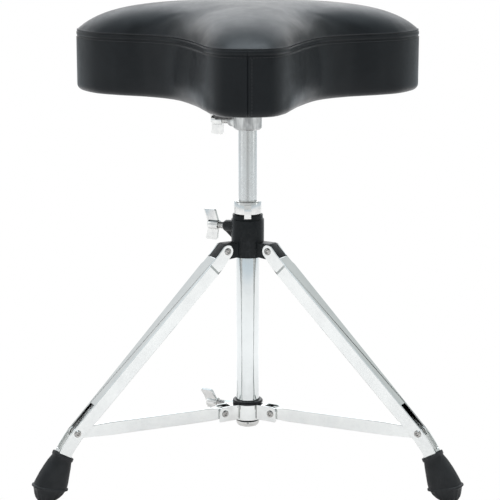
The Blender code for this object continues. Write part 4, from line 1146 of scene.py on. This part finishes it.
    def detailed(self, grid: np.ndarray, sewn: list[int]) -> tuple[np.ndarray, np.ndarray]:
        """A finer grid with the welt's groove, the upright seams and the puckers beside them.

        Args:
            grid: The filled skin.
            sewn: The rows that are sewn down.

        Returns:
            The fine grid, and each of its rows' place in the coarse one.
        """
        lower, upper = sewn[4], sewn[5]
        rows = np.concatenate([
            np.arange(0, 3), np.linspace(3, 7, 9), np.linspace(7.5, lower - 1, 2 * self.band_rows - 3),
            lower - np.array([0.8, 0.6, 0.45, 0.32, 0.2, 0.1, 0.0]),
            [lower + 0.5], upper + np.array([0.0, 0.15, 0.3, 0.5, 0.75]),
            np.linspace(upper + 1, len(grid) - 1, 2 * self.crown_rows - 1)])
        step = grid.shape[1] / self.fine_columns
        columns = np.arange(self.fine_columns) * step
        near = np.array([0.05, 0.1, 0.16, 0.24, 0.34, 0.46, 0.6])
        middle = grid.shape[1] / 2
        for seam in (0.0, middle):
            spots = np.concatenate([seam - near, [seam], seam + near]) % grid.shape[1]
            gap = np.abs((columns - seam + middle) % grid.shape[1] - middle)
            columns = np.concatenate([columns[gap > 0.7], spots])
        columns = np.sort(columns)
        fine = spline(spline(grid, rows, 0, False), columns, 1, True)
        normal = self.normals(fine)
        width = np.linalg.norm(grid[lower, 1] - grid[lower, 0])
        row_place = rows[:, None]
        base_gap = np.where(row_place <= lower, (lower - row_place) * (self.seam - self.underside) / 16,
                            np.where(row_place >= upper, (row_place - upper) * 0.006, 0.0))
        push = -self.groove * bell(base_gap, 0.0016)
        away = np.minimum(np.abs(columns), grid.shape[1] - np.abs(columns))
        rear = np.abs(columns - middle)
        on_band = ((row_place > 4) & (row_place <= lower)).astype(float)
        for gap in (away, rear):
            metres = gap * width
            push = push - on_band * self.seam_depth * bell(metres, self.seam_half)
            push = push + on_band * self.pucker * bell(metres - 0.0024, 0.0016)
        rng = random.Random(11)
        ripple = np.zeros(len(columns))
        for _ in range(self.ripple_waves):
            turns = rng.randint(18, 70)
            ripple += math.sin(rng.uniform(0, 6.3)) * np.sin(columns / grid.shape[1] * 2 * math.pi * turns
                                                              + rng.uniform(0, 6.3))
        ripple /= self.ripple_waves
        fade = bell(base_gap - 0.008, 0.009)
        push = push + self.ripple * ripple[None, :] * fade
        return fine + normal * push[:, :, None], rows

    def solid(self, fine: np.ndarray) -> bpy.types.Object:
        """Close the skin round the board's recess and make the cushion's mesh."""
        plan = fine[0].copy()
        middle = np.array([0.0, self.tail / 3 + AXIS.y])
        inner = []
        recess = 1.0 + (self.hem - 0.0085) / 0.19
        lip = self.underside + self.hem_lip
        steps = ((1.0, lip), (recess, lip), (recess, self.board_top), (0.5, self.board_top),
                 (0.02, self.board_top))
        for share, height in steps:
            ring = plan.copy()
            ring[:, :2] = middle + (plan[:, :2] - middle) * share
            ring[:, 2] = height
            inner.append(ring)
        rings = np.concatenate([np.array(inner[::-1]), fine])
        return object_from("seat_cushion", mesh_of(rings.tolist()))

    def welt(self, fine: np.ndarray, rows: np.ndarray, sewn: list[int]) -> bpy.types.Object:
        """The strip between the two seams, rolled over at its edges."""
        lower = int(np.argmin(np.abs(rows - sewn[4])))
        upper = int(np.argmin(np.abs(rows - sewn[5])))
        low, high = fine[lower], fine[upper]
        out = self.normals(fine)[lower + 1]
        out[:, 2] = 0.0
        out /= np.linalg.norm(out, axis=1)[:, None]
        section = [(0.04, -0.0008), (0.02, 0.0006), (0.09, 0.0015), (0.25, 0.0019), (0.5, 0.002),
                   (0.75, 0.0019), (0.91, 0.0015), (0.98, 0.0006), (0.96, -0.0008)]
        rings = []
        for share, stand in section:
            ring = low * (1 - share) + high * share + out * (stand - self.groove)
            rings.append(ring.tolist())
        return object_from("seat_welt_strip", mesh_of(rings, looped=True))

    def stitches(self, fine: np.ndarray, rows: np.ndarray, sewn: list[int]) -> bpy.types.Object:
        """The top stitching beside both seams and down the upright ones."""
        normal = self.normals(fine)
        shape = capsule(self.stitch_length, self.stitch_radius)
        meshes = []
        for gap in (-0.42, 0.62):
            place = sewn[4] + gap if gap < 0 else sewn[5] + gap
            row = int(np.argmin(np.abs(rows - place)))
            line = fine[row] + normal[row] * self.stitch_lift
            meshes.append(self.repeats.along.run(
                "run", line_mesh(line.tolist(), True), Step=self.stitch_step, Shape=shape,
                Up=(0.0, 0.0, 1.0), Material=THREAD.material()))
        first = int(np.argmin(np.abs(rows - 5)))
        last = int(np.argmin(np.abs(rows - (sewn[4] - 0.8))))
        column = int(np.argmax(fine[first, : fine.shape[1] // 8, 0] > self.stitch_length))
        half = fine.shape[1] // 2
        rear = half + int(np.argmax(fine[first, half:, 0] < -self.stitch_length))
        for index in (column, rear):
            line = fine[first:last, index] + normal[first:last, index] * self.stitch_lift
            meshes.append(self.repeats.along.run(
                "run", line_mesh(line.tolist(), False), Step=self.stitch_step, Shape=shape,
                Up=(0.0, -1.0, 0.0), Material=THREAD.material()))
        discard(shape)
        piece = joined_mesh("seat_stitches", [run.data for run in meshes])
        discard(*meshes)
        return piece

    def staples(self) -> bpy.types.Object:
        """The staples that hold the hem to the board."""
        ring = self.ring(0.6 * self.hem, self.underside - 0.0001)
        shape = capsule(self.staple_length, self.staple_radius)
        piece = self.repeats.along.run(
            "seat_staples", line_mesh(ring.tolist(), True), Step=self.staple_step, Shape=shape,
            Up=(0.0, 0.0, -1.0), Material=BRIGHT_ZINC.material())
        discard(shape)
        return piece

    def build(self) -> None:
        """Make the cushion and what is sewn and stapled to it, and dress them."""
        grid, sewn = self.skin()
        fine, rows = self.detailed(self.filled(grid, sewn), sewn)
        cushion = dressed(self.solid(fine), VINYL, "seat", "seat_cover_top", "seat_cover_band", "seat_foam",
                          smooth=60.0)
        dressed(self.welt(fine, rows, sewn), VINYL, "seat", "seat_welt", smooth=60.0)
        dressed(self.stitches(fine, rows, sewn), THREAD, "seat")
        dressed(self.staples(), BRIGHT_ZINC, "seat")


# ------------------------------------------------------------------------------ under the seat


@dataclass
class SeatMount:
    """The board, dust cover, bracket, socket and bolts under the cushion."""

    repeats: Repeats
    head_radius: float = 0.0054
    head_height: float = 0.0039

    def build(self) -> None:
        """Dress the CAD nodes and make the bolt heads."""
        paint_node("seat_board", PLYWOOD)
        paint_node("seat_dust_cover", DUST_CLOTH)
        dressed(softened("seat_bracket", "seat_bracket_plate", 0.0006), BLACK_STEEL, "seat", "seat_bracket")
        dressed(softened("seat_socket", "seat_socket_casting", 0.0007), ZINC_CAST, "seat", "seat_socket")
        paint_node("socket_clamp_shoe", BRIGHT_ZINC)
        self.bolts()

    def hex_bolt(self) -> bpy.types.Object:
        """A hex bolt's head and washer about Z, facing down its axis."""
        radius = self.head_radius
        low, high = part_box("bracket_bolt_1")
        height = self.head_height
        hexagon = []
        for inset, z in ((0.9, -height), (1.0, -height + 0.0005), (1.0, 0.0)):
            ring = []
            for i in range(6):
                angle = math.radians(60 * i)
                ring.append((radius * inset * math.cos(angle), radius * inset * math.sin(angle), z))
            hexagon.append(ring)
        washer = turned(rounded([(0.0033, -0.0001), (0.0066, -0.0001), (0.0066, -0.001), (0.0033, -0.001)],
                                0.0003), 32, looped=True)
        shank = turned([(0.003, -0.001), (0.003, high.z - low.z - height)], 24)
        return joined_mesh("hex_bolt", [mesh_of(hexagon), washer, shank])

    def bolts(self) -> None:
        """The four bolts that hold the bracket, as one piece that stands for their CAD nodes."""
        nodes = [f"bracket_bolt_{number}" for number in range(1, 5)]
        shape = self.hex_bolt()
        spots = []
        for node in nodes:
            low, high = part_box(node)
            spot = Vector(((low.x + high.x) / 2, (low.y + high.y) / 2, low.z + self.head_height))
            spots.append((spot, Vector((0.0, 0.0, 1.0))))
        piece = self.repeats.at_points.place("bracket_bolts", shape, spots, BRIGHT_ZINC)
        discard(shape)
        dressed(piece, BRIGHT_ZINC, "seat", *nodes, smooth=30.0)


def paint_node(node: str, finish: Finish) -> None:
    """Give a CAD node whose shape is right a better material.

    Args:
        node: The CAD node's name.
        finish: Its finish.
    """
    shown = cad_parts[node]
    shown.data.materials.clear()
    shown.data.materials.append(finish.material())
    LOG.info("%s: %s", node, finish.name)


# ------------------------------------------------------------------------------ wing bolts


@dataclass
class WingBolt:
    """A cast wing bolt with a rolled thread."""

    repeats: Repeats
    body: str
    height: float
    reach: float
    exposed: float
    radius: float = 0.0039
    buried: float = 0.006
    pitch: float = 0.00125
    ridge: float = 0.00045

    def build(self) -> None:
        """Make the casting and the thread, and dress them."""
        casting = softened(self.body, f"{self.body}_casting", 0.0009, 3, 30.0)
        dressed(casting, WING_CHROME, self.body, self.body, smooth=50.0)
        length = self.exposed + self.buried
        start = self.reach - self.buried
        source = bpy.data.meshes.new("empty")
        thread = self.repeats.thread.run(
            f"{self.body}_thread", source, Radius=self.radius - 0.0001, Length=length,
            Turns=length / self.pitch, Ridge=self.ridge, Material=BRIGHT_ZINC.material())
        lie = Matrix.Rotation(math.pi / 2, 4, "Y")
        thread.data.transform(radial_frame(WING_AZIMUTH, start, self.height) @ lie)
        thread.data.update()
        dressed(thread, BRIGHT_ZINC, self.body)


# ------------------------------------------------------------------------------ the post


@dataclass
class Post:
    """The upper post, its plug, and the memory lock with its key bolt."""

    radius: float = 0.0111
    wall: float = 0.002

    def build(self) -> None:
        """Make the post and dress what it carries."""
        low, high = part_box("upper_post")
        mesh = pipe(self.radius, self.wall, low.z, high.z, 0.0006)
        dressed(object_from("upper_post_tube", mesh), NICKEL, "post", "upper_post")
        paint_node("post_end_plug", NYLON)
        lock = softened("memory_lock", "memory_lock_ring", 0.0006, 2)
        dressed(lock, WING_CHROME, "memory_lock", "memory_lock")
        bolt = softened("memory_lock_key_bolt", "memory_lock_key", 0.0005, 2, 40.0)
        dressed(bolt, BRIGHT_ZINC, "memory_lock", "memory_lock_key_bolt")


# ------------------------------------------------------------------------------ the base


RIVET_HEAD_RADIUS = 0.0044
RIVET_HEAD_HEIGHT = 0.0021
RIVET_PIN_RADIUS = 0.0029


def rivet_head() -> bpy.types.Mesh:
    """A rivet's head about Z: a low dome with a rolled ring and a dimple, its face at zero."""
    profile = [(0.1, 0.3), (0.26, 0.32), (0.36, 0.55), (0.47, 0.93), (0.58, 1.0), (0.74, 0.88), (0.9, 0.52),
               (1.0, 0.2), (1.0, 0.0)]
    points = [(RIVET_HEAD_RADIUS * share, RIVET_HEAD_HEIGHT * rise) for share, rise in profile]
    return turned(points, 36)


@dataclass
class Base:
    """The lower tube, the hub and the rivets that carry the legs."""

    repeats: Repeats
    tube_radius: float = 0.0143
    tube_wall: float = 0.0016

    def build(self) -> None:
        """Make and dress the base's pieces."""
        low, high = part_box("lower_tube")
        mesh = pipe(self.tube_radius, self.tube_wall, low.z, high.z, 0.0004)
        dressed(object_from("lower_tube_drawn", mesh), TUBE_CHROME, "base", "lower_tube")
        dressed(softened("hub", "hub_casting", 0.0007, 3), HUB_BLACK, "base", "hub", smooth=45.0)
        paint_node("hub_bushing", NYLON)
        paint_node("hub_pressure_pad", BRIGHT_ZINC)
        self.cap()
        self.rivets()

    def cap(self) -> None:
        """The tube's end cap with its drain notch, and the ring above it."""
        low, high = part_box("tube_end_cap")
        ring_low, ring_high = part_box("end_cap_ring")
        top = ring_low.z - 0.0003
        radius = self.tube_radius + 0.0004
        inner = self.tube_radius - self.tube_wall - 0.0003
        profile = [(0.25 * radius, low.z), (0.62 * radius, low.z), (0.84 * radius, low.z + 0.0013),
                   (0.96 * radius, low.z + 0.0036), (radius, low.z + 0.0062), (radius, top - 0.0005),
                   (radius - 0.0005, top), (inner, top), (inner, high.z)]
        cap = object_from("tube_end_cap_turned", turned(profile, 96, frame_to=Matrix.Translation(AXIS)))
        drill = turned([(0.0014, -0.004), (0.0014, 0.004)], 24, frame_to=Matrix.Translation(
            AXIS + Vector((0.0, -radius, top - 0.0016))) @ Matrix.Rotation(math.pi / 2, 4, "X"))
        tool = object_from("drill", drill)
        notch = cap.modifiers.new("notch", "BOOLEAN")
        notch.operation = "DIFFERENCE"
        notch.object = tool
        settled(cap)
        discard(tool)
        dressed(cap, WING_CHROME, "base", "tube_end_cap")
        ring = turned(rounded([(radius + 0.0003, ring_low.z), (radius + 0.0003, ring_high.z),
                               (inner + 0.0006, ring_high.z), (inner + 0.0006, ring_low.z)], 0.0004),
                      96, True, Matrix.Translation(AXIS))
        dressed(object_from("end_cap_seal", ring), NYLON, "base", "end_cap_ring")

    def rivets(self) -> None:
        """The hub's three rivets: a head at each end and the pin between."""
        nodes = [f"leg_pivot_rivet_{side}" for side in LEG_AZIMUTHS]
        piece = rivet_set(self.repeats, "leg_pivot_rivets", nodes)
        dressed(piece, BRIGHT_ZINC, "base", *nodes)


def rivet_set(repeats: Repeats, name: str, nodes: Sequence[str]) -> bpy.types.Object:
    """Through rivets in place of CAD ones: heads and pins.

    Args:
        repeats: The shared repeat trees.
        name: The new piece's name.
        nodes: The CAD rivets, one on each leg's azimuth.

    Returns:
        The piece, not yet dressed.
    """
    spots, pins = [], []
    for azimuth, node in zip(LEG_AZIMUTHS.values(), nodes):
        angle = math.radians(azimuth)
        way = Vector((-math.sin(angle), math.cos(angle), 0.0))
        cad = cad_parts[node].data
        reach = max(vert.co.dot(way) for vert in cad.vertices)
        back = min(vert.co.dot(way) for vert in cad.vertices)
        middle = middle_of(node)
        half = (reach - back) / 2 - RIVET_HEAD_HEIGHT
        spots += [(middle + way * half, way), (middle - way * half, -way)]
        turn = way.to_track_quat("Z", "Y").to_matrix().to_4x4()
        pins.append(turned([(RIVET_PIN_RADIUS, -half), (RIVET_PIN_RADIUS, half)], 28,
                           frame_to=Matrix.Translation(middle) @ turn))
    shape = object_from("head", rivet_head())
    heads = repeats.at_points.place("heads", shape, spots, BRIGHT_ZINC)
    piece = joined_mesh(name, [heads.data, *pins])
    discard(shape, heads)
    return piece


# ------------------------------------------------------------------------------ collar


@dataclass
class Collar:
    """The sliding collar with its bushing and rivets."""

    repeats: Repeats
    flange_radius: float = 0.0189
    sleeve: float = 0.0146

    def build(self) -> None:
        """Make and dress the collar's pieces."""
        collar = softened("brace_collar", "brace_collar_pressing", 0.0004, clamp=False)
        dressed(collar, CHROME, "brace_collar", "brace_collar", smooth=FLAT_SMOOTH)
        self.bushing()
        paint_node("collar_pressure_pad", BRIGHT_ZINC)
        nodes = [f"brace_pivot_rivet_{side}" for side in LEG_AZIMUTHS]
        dressed(rivet_set(self.repeats, "brace_pivot_rivets", nodes), BRIGHT_ZINC, "brace_collar", *nodes)

    def bushing(self) -> None:
        """The glossy bushing whose flange shows above the collar."""
        low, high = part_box("collar_bushing")
        flange = high.z - 0.0033
        outer = self.sleeve + 0.0012
        profile = [(outer, low.z), (outer, flange), (self.flange_radius - 0.0002, flange),
                   (self.flange_radius, flange + 0.0008), (self.flange_radius, high.z - 0.0013),
                   (self.flange_radius - 0.0013, high.z), (self.sleeve + 0.0003, high.z),
                   (self.sleeve, high.z - 0.0003), (self.sleeve, low.z)]
        mesh = turned(rounded(profile, 0.0005), 96, True, Matrix.Translation(AXIS))
        dressed(object_from("collar_bushing_ring", mesh), NYLON, "brace_collar", "collar_bushing")


# ------------------------------------------------------------------------------ legs


@dataclass
class Foot:
    """A rubber boot with a beaded rim, a flange and a scalloped tread."""

    repeats: Repeats
    side: str
    azimuth: float
    pivot: float = 0.23482
    sides: int = 64
    squareness: float = 2.5
    sections: tuple[Point, ...] = (
        (15.7, 53.0, 30.0, 12.4, 10.2), (15.6, 53.3, 30.0, 12.9, 10.7), (16.2, 52.4, 30.0, 13.2, 11.0),
        (17.4, 49.9, 30.0, 13.2, 11.0), (17.7, 49.2, 29.5, 12.5, 10.5), (18.3, 48.2, 28.6, 12.4, 10.4),
        (21.5, 42.4, 26.5, 14.6, 11.6), (24.8, 36.0, 24.0, 16.3, 12.6), (28.0, 29.6, 20.0, 17.9, 13.4),
        (30.6, 23.8, 17.0, 19.1, 14.0), (32.6, 19.6, 15.0, 19.8, 14.3), (33.3, 17.9, 14.0, 20.0, 14.4),
        (33.5, 17.5, 14.0, 21.0, 15.0), (33.7, 17.1, 14.0, 21.7, 15.3), (33.9, 16.2, 14.0, 21.8, 15.4),
        (34.2, 15.3, 14.0, 21.7, 15.3), (34.3, 14.9, 13.5, 20.3, 14.4), (34.6, 14.2, 13.0, 19.4, 13.8),
        (36.2, 7.6, 9.0, 16.8, 11.9), (37.0, 4.4, 5.0, 14.9, 10.4), (37.4, 2.4, 3.0, 12.8, 8.9),
        (37.9, 0.7, 1.0, 11.0, 7.6), (38.2, 0.0, 0.0, 9.0, 6.0))

    def ring(self, section: Point, scallop: float = 0.0) -> list[Point]:
        """One section's ring in the foot's radial frame, with a scallop's depth."""
        reach, height, tilt, half, width = section
        turn = math.radians(tilt)
        power = 2 / self.squareness
        ring = []
        for i in range(self.sides):
            angle = 2 * math.pi * i / self.sides
            c, s = math.cos(angle), math.sin(angle)
            bite = 1.0 - scallop * (0.5 - 0.5 * math.cos(16 * angle))
            along = math.copysign(abs(c) ** power, c) * half * MM * bite
            across = math.copysign(abs(s) ** power, s) * width * MM * bite
            ring.append((self.pivot + reach * MM + along * math.cos(turn), across,
                         height * MM + along * math.sin(turn)))
        return ring

    def build(self) -> None:
        """Make the boot with its pocket and dress it."""
        rings = []
        for section in self.sections:
            below = section[1] < 15.0
            depth = 0.075 * min(1.0, (15.0 - section[1]) / 6.0) if below else 0.0
            rings.append(self.ring(section, depth if section[1] > 0.5 else 0.02))
        sunk = [(15.9, 52.6, 30.0, 11.4, 9.2), (17.0, 50.4, 30.0, 10.8, 8.6)]
        rings = [self.ring(section) for section in reversed(sunk)] + rings
        mesh = mesh_of(rings, frame_to=radial_frame(self.azimuth))
        foot = object_from(f"foot_{self.side}_boot", mesh)
        dressed(foot, RUBBER, f"leg_{self.side}", f"foot_{self.side}", smooth=42.0)


@dataclass
class Leg:
    """A pressed leg with its boot, its brace and the rivets between them."""

    repeats: Repeats
    side: str
    azimuth: float

    def build(self) -> None:
        """Make and dress the leg's pieces."""
        body = f"leg_{self.side}"
        leg = softened(body, f"{body}_pressing", 0.0008, clamp=False)
        dressed(leg, CHROME, body, body, smooth=FLAT_SMOOTH)
        brace = f"brace_{self.side}"
        strut = softened(brace, f"{brace}_pressing", 0.0006, clamp=False)
        dressed(strut, CHROME, brace, brace, smooth=FLAT_SMOOTH)
        self.rivets(body)
        Foot(self.repeats, self.side, self.azimuth).build()

    def rivets(self, body: str) -> None:
        """The two half rivets that hold the brace, one on each flange."""
        angle = math.radians(self.azimuth)
        way = Vector((-math.sin(angle), math.cos(angle), 0.0))
        spots, pins, nodes = [], [], []
        for mark in "ab":
            node = f"leg_brace_rivet_{mark}_{self.side}"
            nodes.append(node)
            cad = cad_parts[node].data
            middle = middle_of(node)
            sign = 1.0 if (middle - AXIS).dot(way) > 0 else -1.0
            reach = max(sign * vert.co.dot(way) for vert in cad.vertices)
            back = min(sign * vert.co.dot(way) for vert in cad.vertices)
            face = middle + way * sign * (reach - RIVET_HEAD_HEIGHT - sign * middle.dot(way))
            spots.append((face, way * sign))
            turn = (way * sign).to_track_quat("Z", "Y").to_matrix().to_4x4()
            inner_end = back - reach + RIVET_HEAD_HEIGHT
            pins.append(turned([(RIVET_PIN_RADIUS, inner_end), (RIVET_PIN_RADIUS, 0.0)], 28,
                               frame_to=Matrix.Translation(face) @ turn))
        shape = object_from("head", rivet_head())
        heads = self.repeats.at_points.place("heads", shape, spots, BRIGHT_ZINC)
        piece = joined_mesh(f"leg_brace_rivets_{self.side}", [heads.data, *pins])
        discard(shape, heads)
        dressed(piece, BRIGHT_ZINC, body, *nodes)


# ------------------------------------------------------------------------------ the studio


@dataclass
class Studio:
    """A pale floor, soft lights and the camera."""

    distance: float = 1.95
    camera_height: float = 0.694
    pitch: float = 12.2
    lens: float = 117.3
    shift: float = 0.0046

    def build(self) -> None:
        """Make the floor, the lights, the surroundings and the camera."""
        self.floor()
        self.surroundings()
        self.lamp("overhead", (0.0, -0.1, 2.3), (1.1, 0.7), 26.0, (0.84, 0.93, 1.0))
        self.lamp("left", (-2.1, -0.5, 0.9), (0.5, 1.5), 1.6, (1.0, 1.0, 1.0))
        self.lamp("right", (2.1, -0.4, 0.9), (0.5, 1.5), 1.6, (1.0, 1.0, 1.0))
        self.camera()
        bpy.context.scene.view_settings.view_transform = "Standard"
        bpy.context.scene.view_settings.look = "None"

    def floor(self) -> None:
        """The pale floor, which the plating mirrors and the camera does not see."""
        mesh = turned([(6.0, -0.002), (6.0, 0.0)], 96)
        floor = object_from("studio_floor", mesh)
        material = bpy.data.materials.new("pale_floor")
        material.use_nodes = True
        graph = Graph(material.node_tree)
        shader = material.node_tree.nodes["Principled BSDF"].inputs
        place = graph.add("ShaderNodeTexCoord").outputs["Object"]
        cloud = graph.noise(place, 3.0, 3.0)
        near = graph.tint(cloud, (0.88, 0.82, 0.79, 1.0), (0.9, 0.84, 0.81, 1.0))
        away = graph.add("ShaderNodeVectorMath", operation="LENGTH")
        graph.feed(away.inputs[0], place)
        far = graph.remap(away.outputs["Value"], (1.6, 2.6), (0.0, 1.0))
        graph.feed(shader["Base Color"], graph.tint(far, near, (0.62, 0.66, 0.69, 1.0)))
        shader["Roughness"].default_value = 0.9
        shader["Specular IOR Level"].default_value = 0.0
        shader["Emission Color"].default_value = (1.0, 1.0, 1.0, 1.0)
        shader["Emission Strength"].default_value = 0.18
        floor.data.materials.append(material)
        floor.visible_camera = False

    def surroundings(self) -> None:
        """A white backdrop for the eye, and a softer room for the plating to mirror."""
        world = bpy.data.worlds.new("studio")
        world.use_nodes = True
        bpy.context.scene.world = world
        graph = Graph(world.node_tree)
        nodes = world.node_tree.nodes
        split = graph.add("ShaderNodeSeparateXYZ")
        graph.feed(split.inputs[0], graph.add("ShaderNodeTexCoord").outputs["Generated"])
        behind = graph.remap(split.outputs[1], (-0.1, 0.5), (0.0, 1.0))
        low = graph.remap(split.outputs[2], (0.42, 0.82), (1.0, 0.0))
        central = graph.remap(graph.calc("ABSOLUTE", split.outputs[0]), (0.36, 0.6), (1.0, 0.0))
        above_floor = graph.remap(split.outputs[2], (-0.06, 0.08), (0.0, 1.0))
        glow = graph.product(behind, low, central, above_floor)
        high = graph.remap(split.outputs[2], (0.3, 0.5), (0.0, 1.0))
        ceiling = graph.remap(split.outputs[2], (0.62, 0.78), (0.0, 1.0))
        wall = graph.tint(high, (0.85, 0.87, 0.88, 1.0), (0.92, 0.95, 0.97, 1.0))
        right = graph.remap(split.outputs[0], (0.3, 0.7), (0.0, 1.0))
        wall = graph.tint(right, wall, (0.7, 0.74, 0.74, 1.0))
        bright = graph.tint(graph.remap(split.outputs[2], (0.22, 0.4), (0.0, 1.0)),
                            (1.5, 1.5, 1.5, 1.0), (2.5, 2.6, 2.7, 1.0))
        room = graph.tint(glow, wall, bright)
        overhead = graph.tint(graph.remap(split.outputs[1], (-0.25, 0.05), (0.0, 1.0)),
                              (0.22, 0.23, 0.24, 1.0), (1.25, 1.4, 1.5, 1.0))
        room = graph.tint(ceiling, room, overhead)
        seen = graph.add("ShaderNodeLightPath").outputs["Is Camera Ray"]
        color = graph.tint(seen, room, (1.0, 1.0, 1.0, 1.0))
        background = nodes.get("Background") or graph.add("ShaderNodeBackground")
        graph.feed(background.inputs["Color"], color)
        output = nodes.get("World Output") or graph.add("ShaderNodeOutputWorld")
        graph.feed(output.inputs["Surface"], background.outputs[0])

    def lamp(self, name: str, place: Point, size: Point, power: float, color: Color) -> None:
        """A soft rectangular light that faces the throne's middle.

        Args:
            name: Its name.
            place: Where it hangs.
            size: Its width and height.
            power: Its power in watts.
            color: Its colour.
        """
        data = bpy.data.lights.new(name, "AREA")
        data.shape = "RECTANGLE"
        data.size, data.size_y = size
        data.energy = power
        data.color = color
        lamp = bpy.data.objects.new(name, data)
        bpy.context.scene.collection.objects.link(lamp)
        lamp.location = place
        aim = Vector((0.0, 0.0, 0.4)) - Vector(place)
        lamp.rotation_euler = aim.to_track_quat("-Z", "Y").to_euler()

    def camera(self) -> None:
        """The camera, a little above the seat and looking slightly down."""
        data = bpy.data.cameras.new("camera")
        data.lens = self.lens
        data.sensor_width = 36.0
        data.shift_x = self.shift
        camera = bpy.data.objects.new("camera", data)
        bpy.context.scene.collection.objects.link(camera)
        camera.location = AXIS + Vector((0.0, -self.distance, self.camera_height))
        camera.rotation_euler = (math.radians(90.0 - self.pitch), 0.0, 0.0)
        bpy.context.scene.camera = camera


# ------------------------------------------------------------------------------ build


def main() -> None:
    """Build the throne's looks, sub-assembly by sub-assembly."""
    logging.basicConfig(level=logging.INFO, format="%(name)s %(message)s")
    repeats = Repeats()
    parts: list[tuple[str, Callable[[], None]]] = [
        ("cushion", Cushion(repeats).build),
        ("seat mount", SeatMount(repeats).build),
        ("post", Post().build),
        ("base", Base(repeats).build),
        ("collar", Collar(repeats).build),
        ("socket wing bolt", WingBolt(repeats, "socket_wing_bolt", 0.4305, 0.025, 0.010).build),
        ("hub wing bolt", WingBolt(repeats, "hub_wing_bolt", 0.3, 0.0321, 0.009).build),
        ("collar wing bolt", WingBolt(repeats, "collar_wing_bolt", 0.0707, 0.032, 0.012).build),
    ]
    for side, azimuth in LEG_AZIMUTHS.items():
        parts.append((f"leg {side}", Leg(repeats, side, azimuth).build))
    parts.append(("studio", Studio().build))
    for title, build in parts:
        LOG.info("building the %s", title)
        build()


if __name__ == "__main__":
    main()
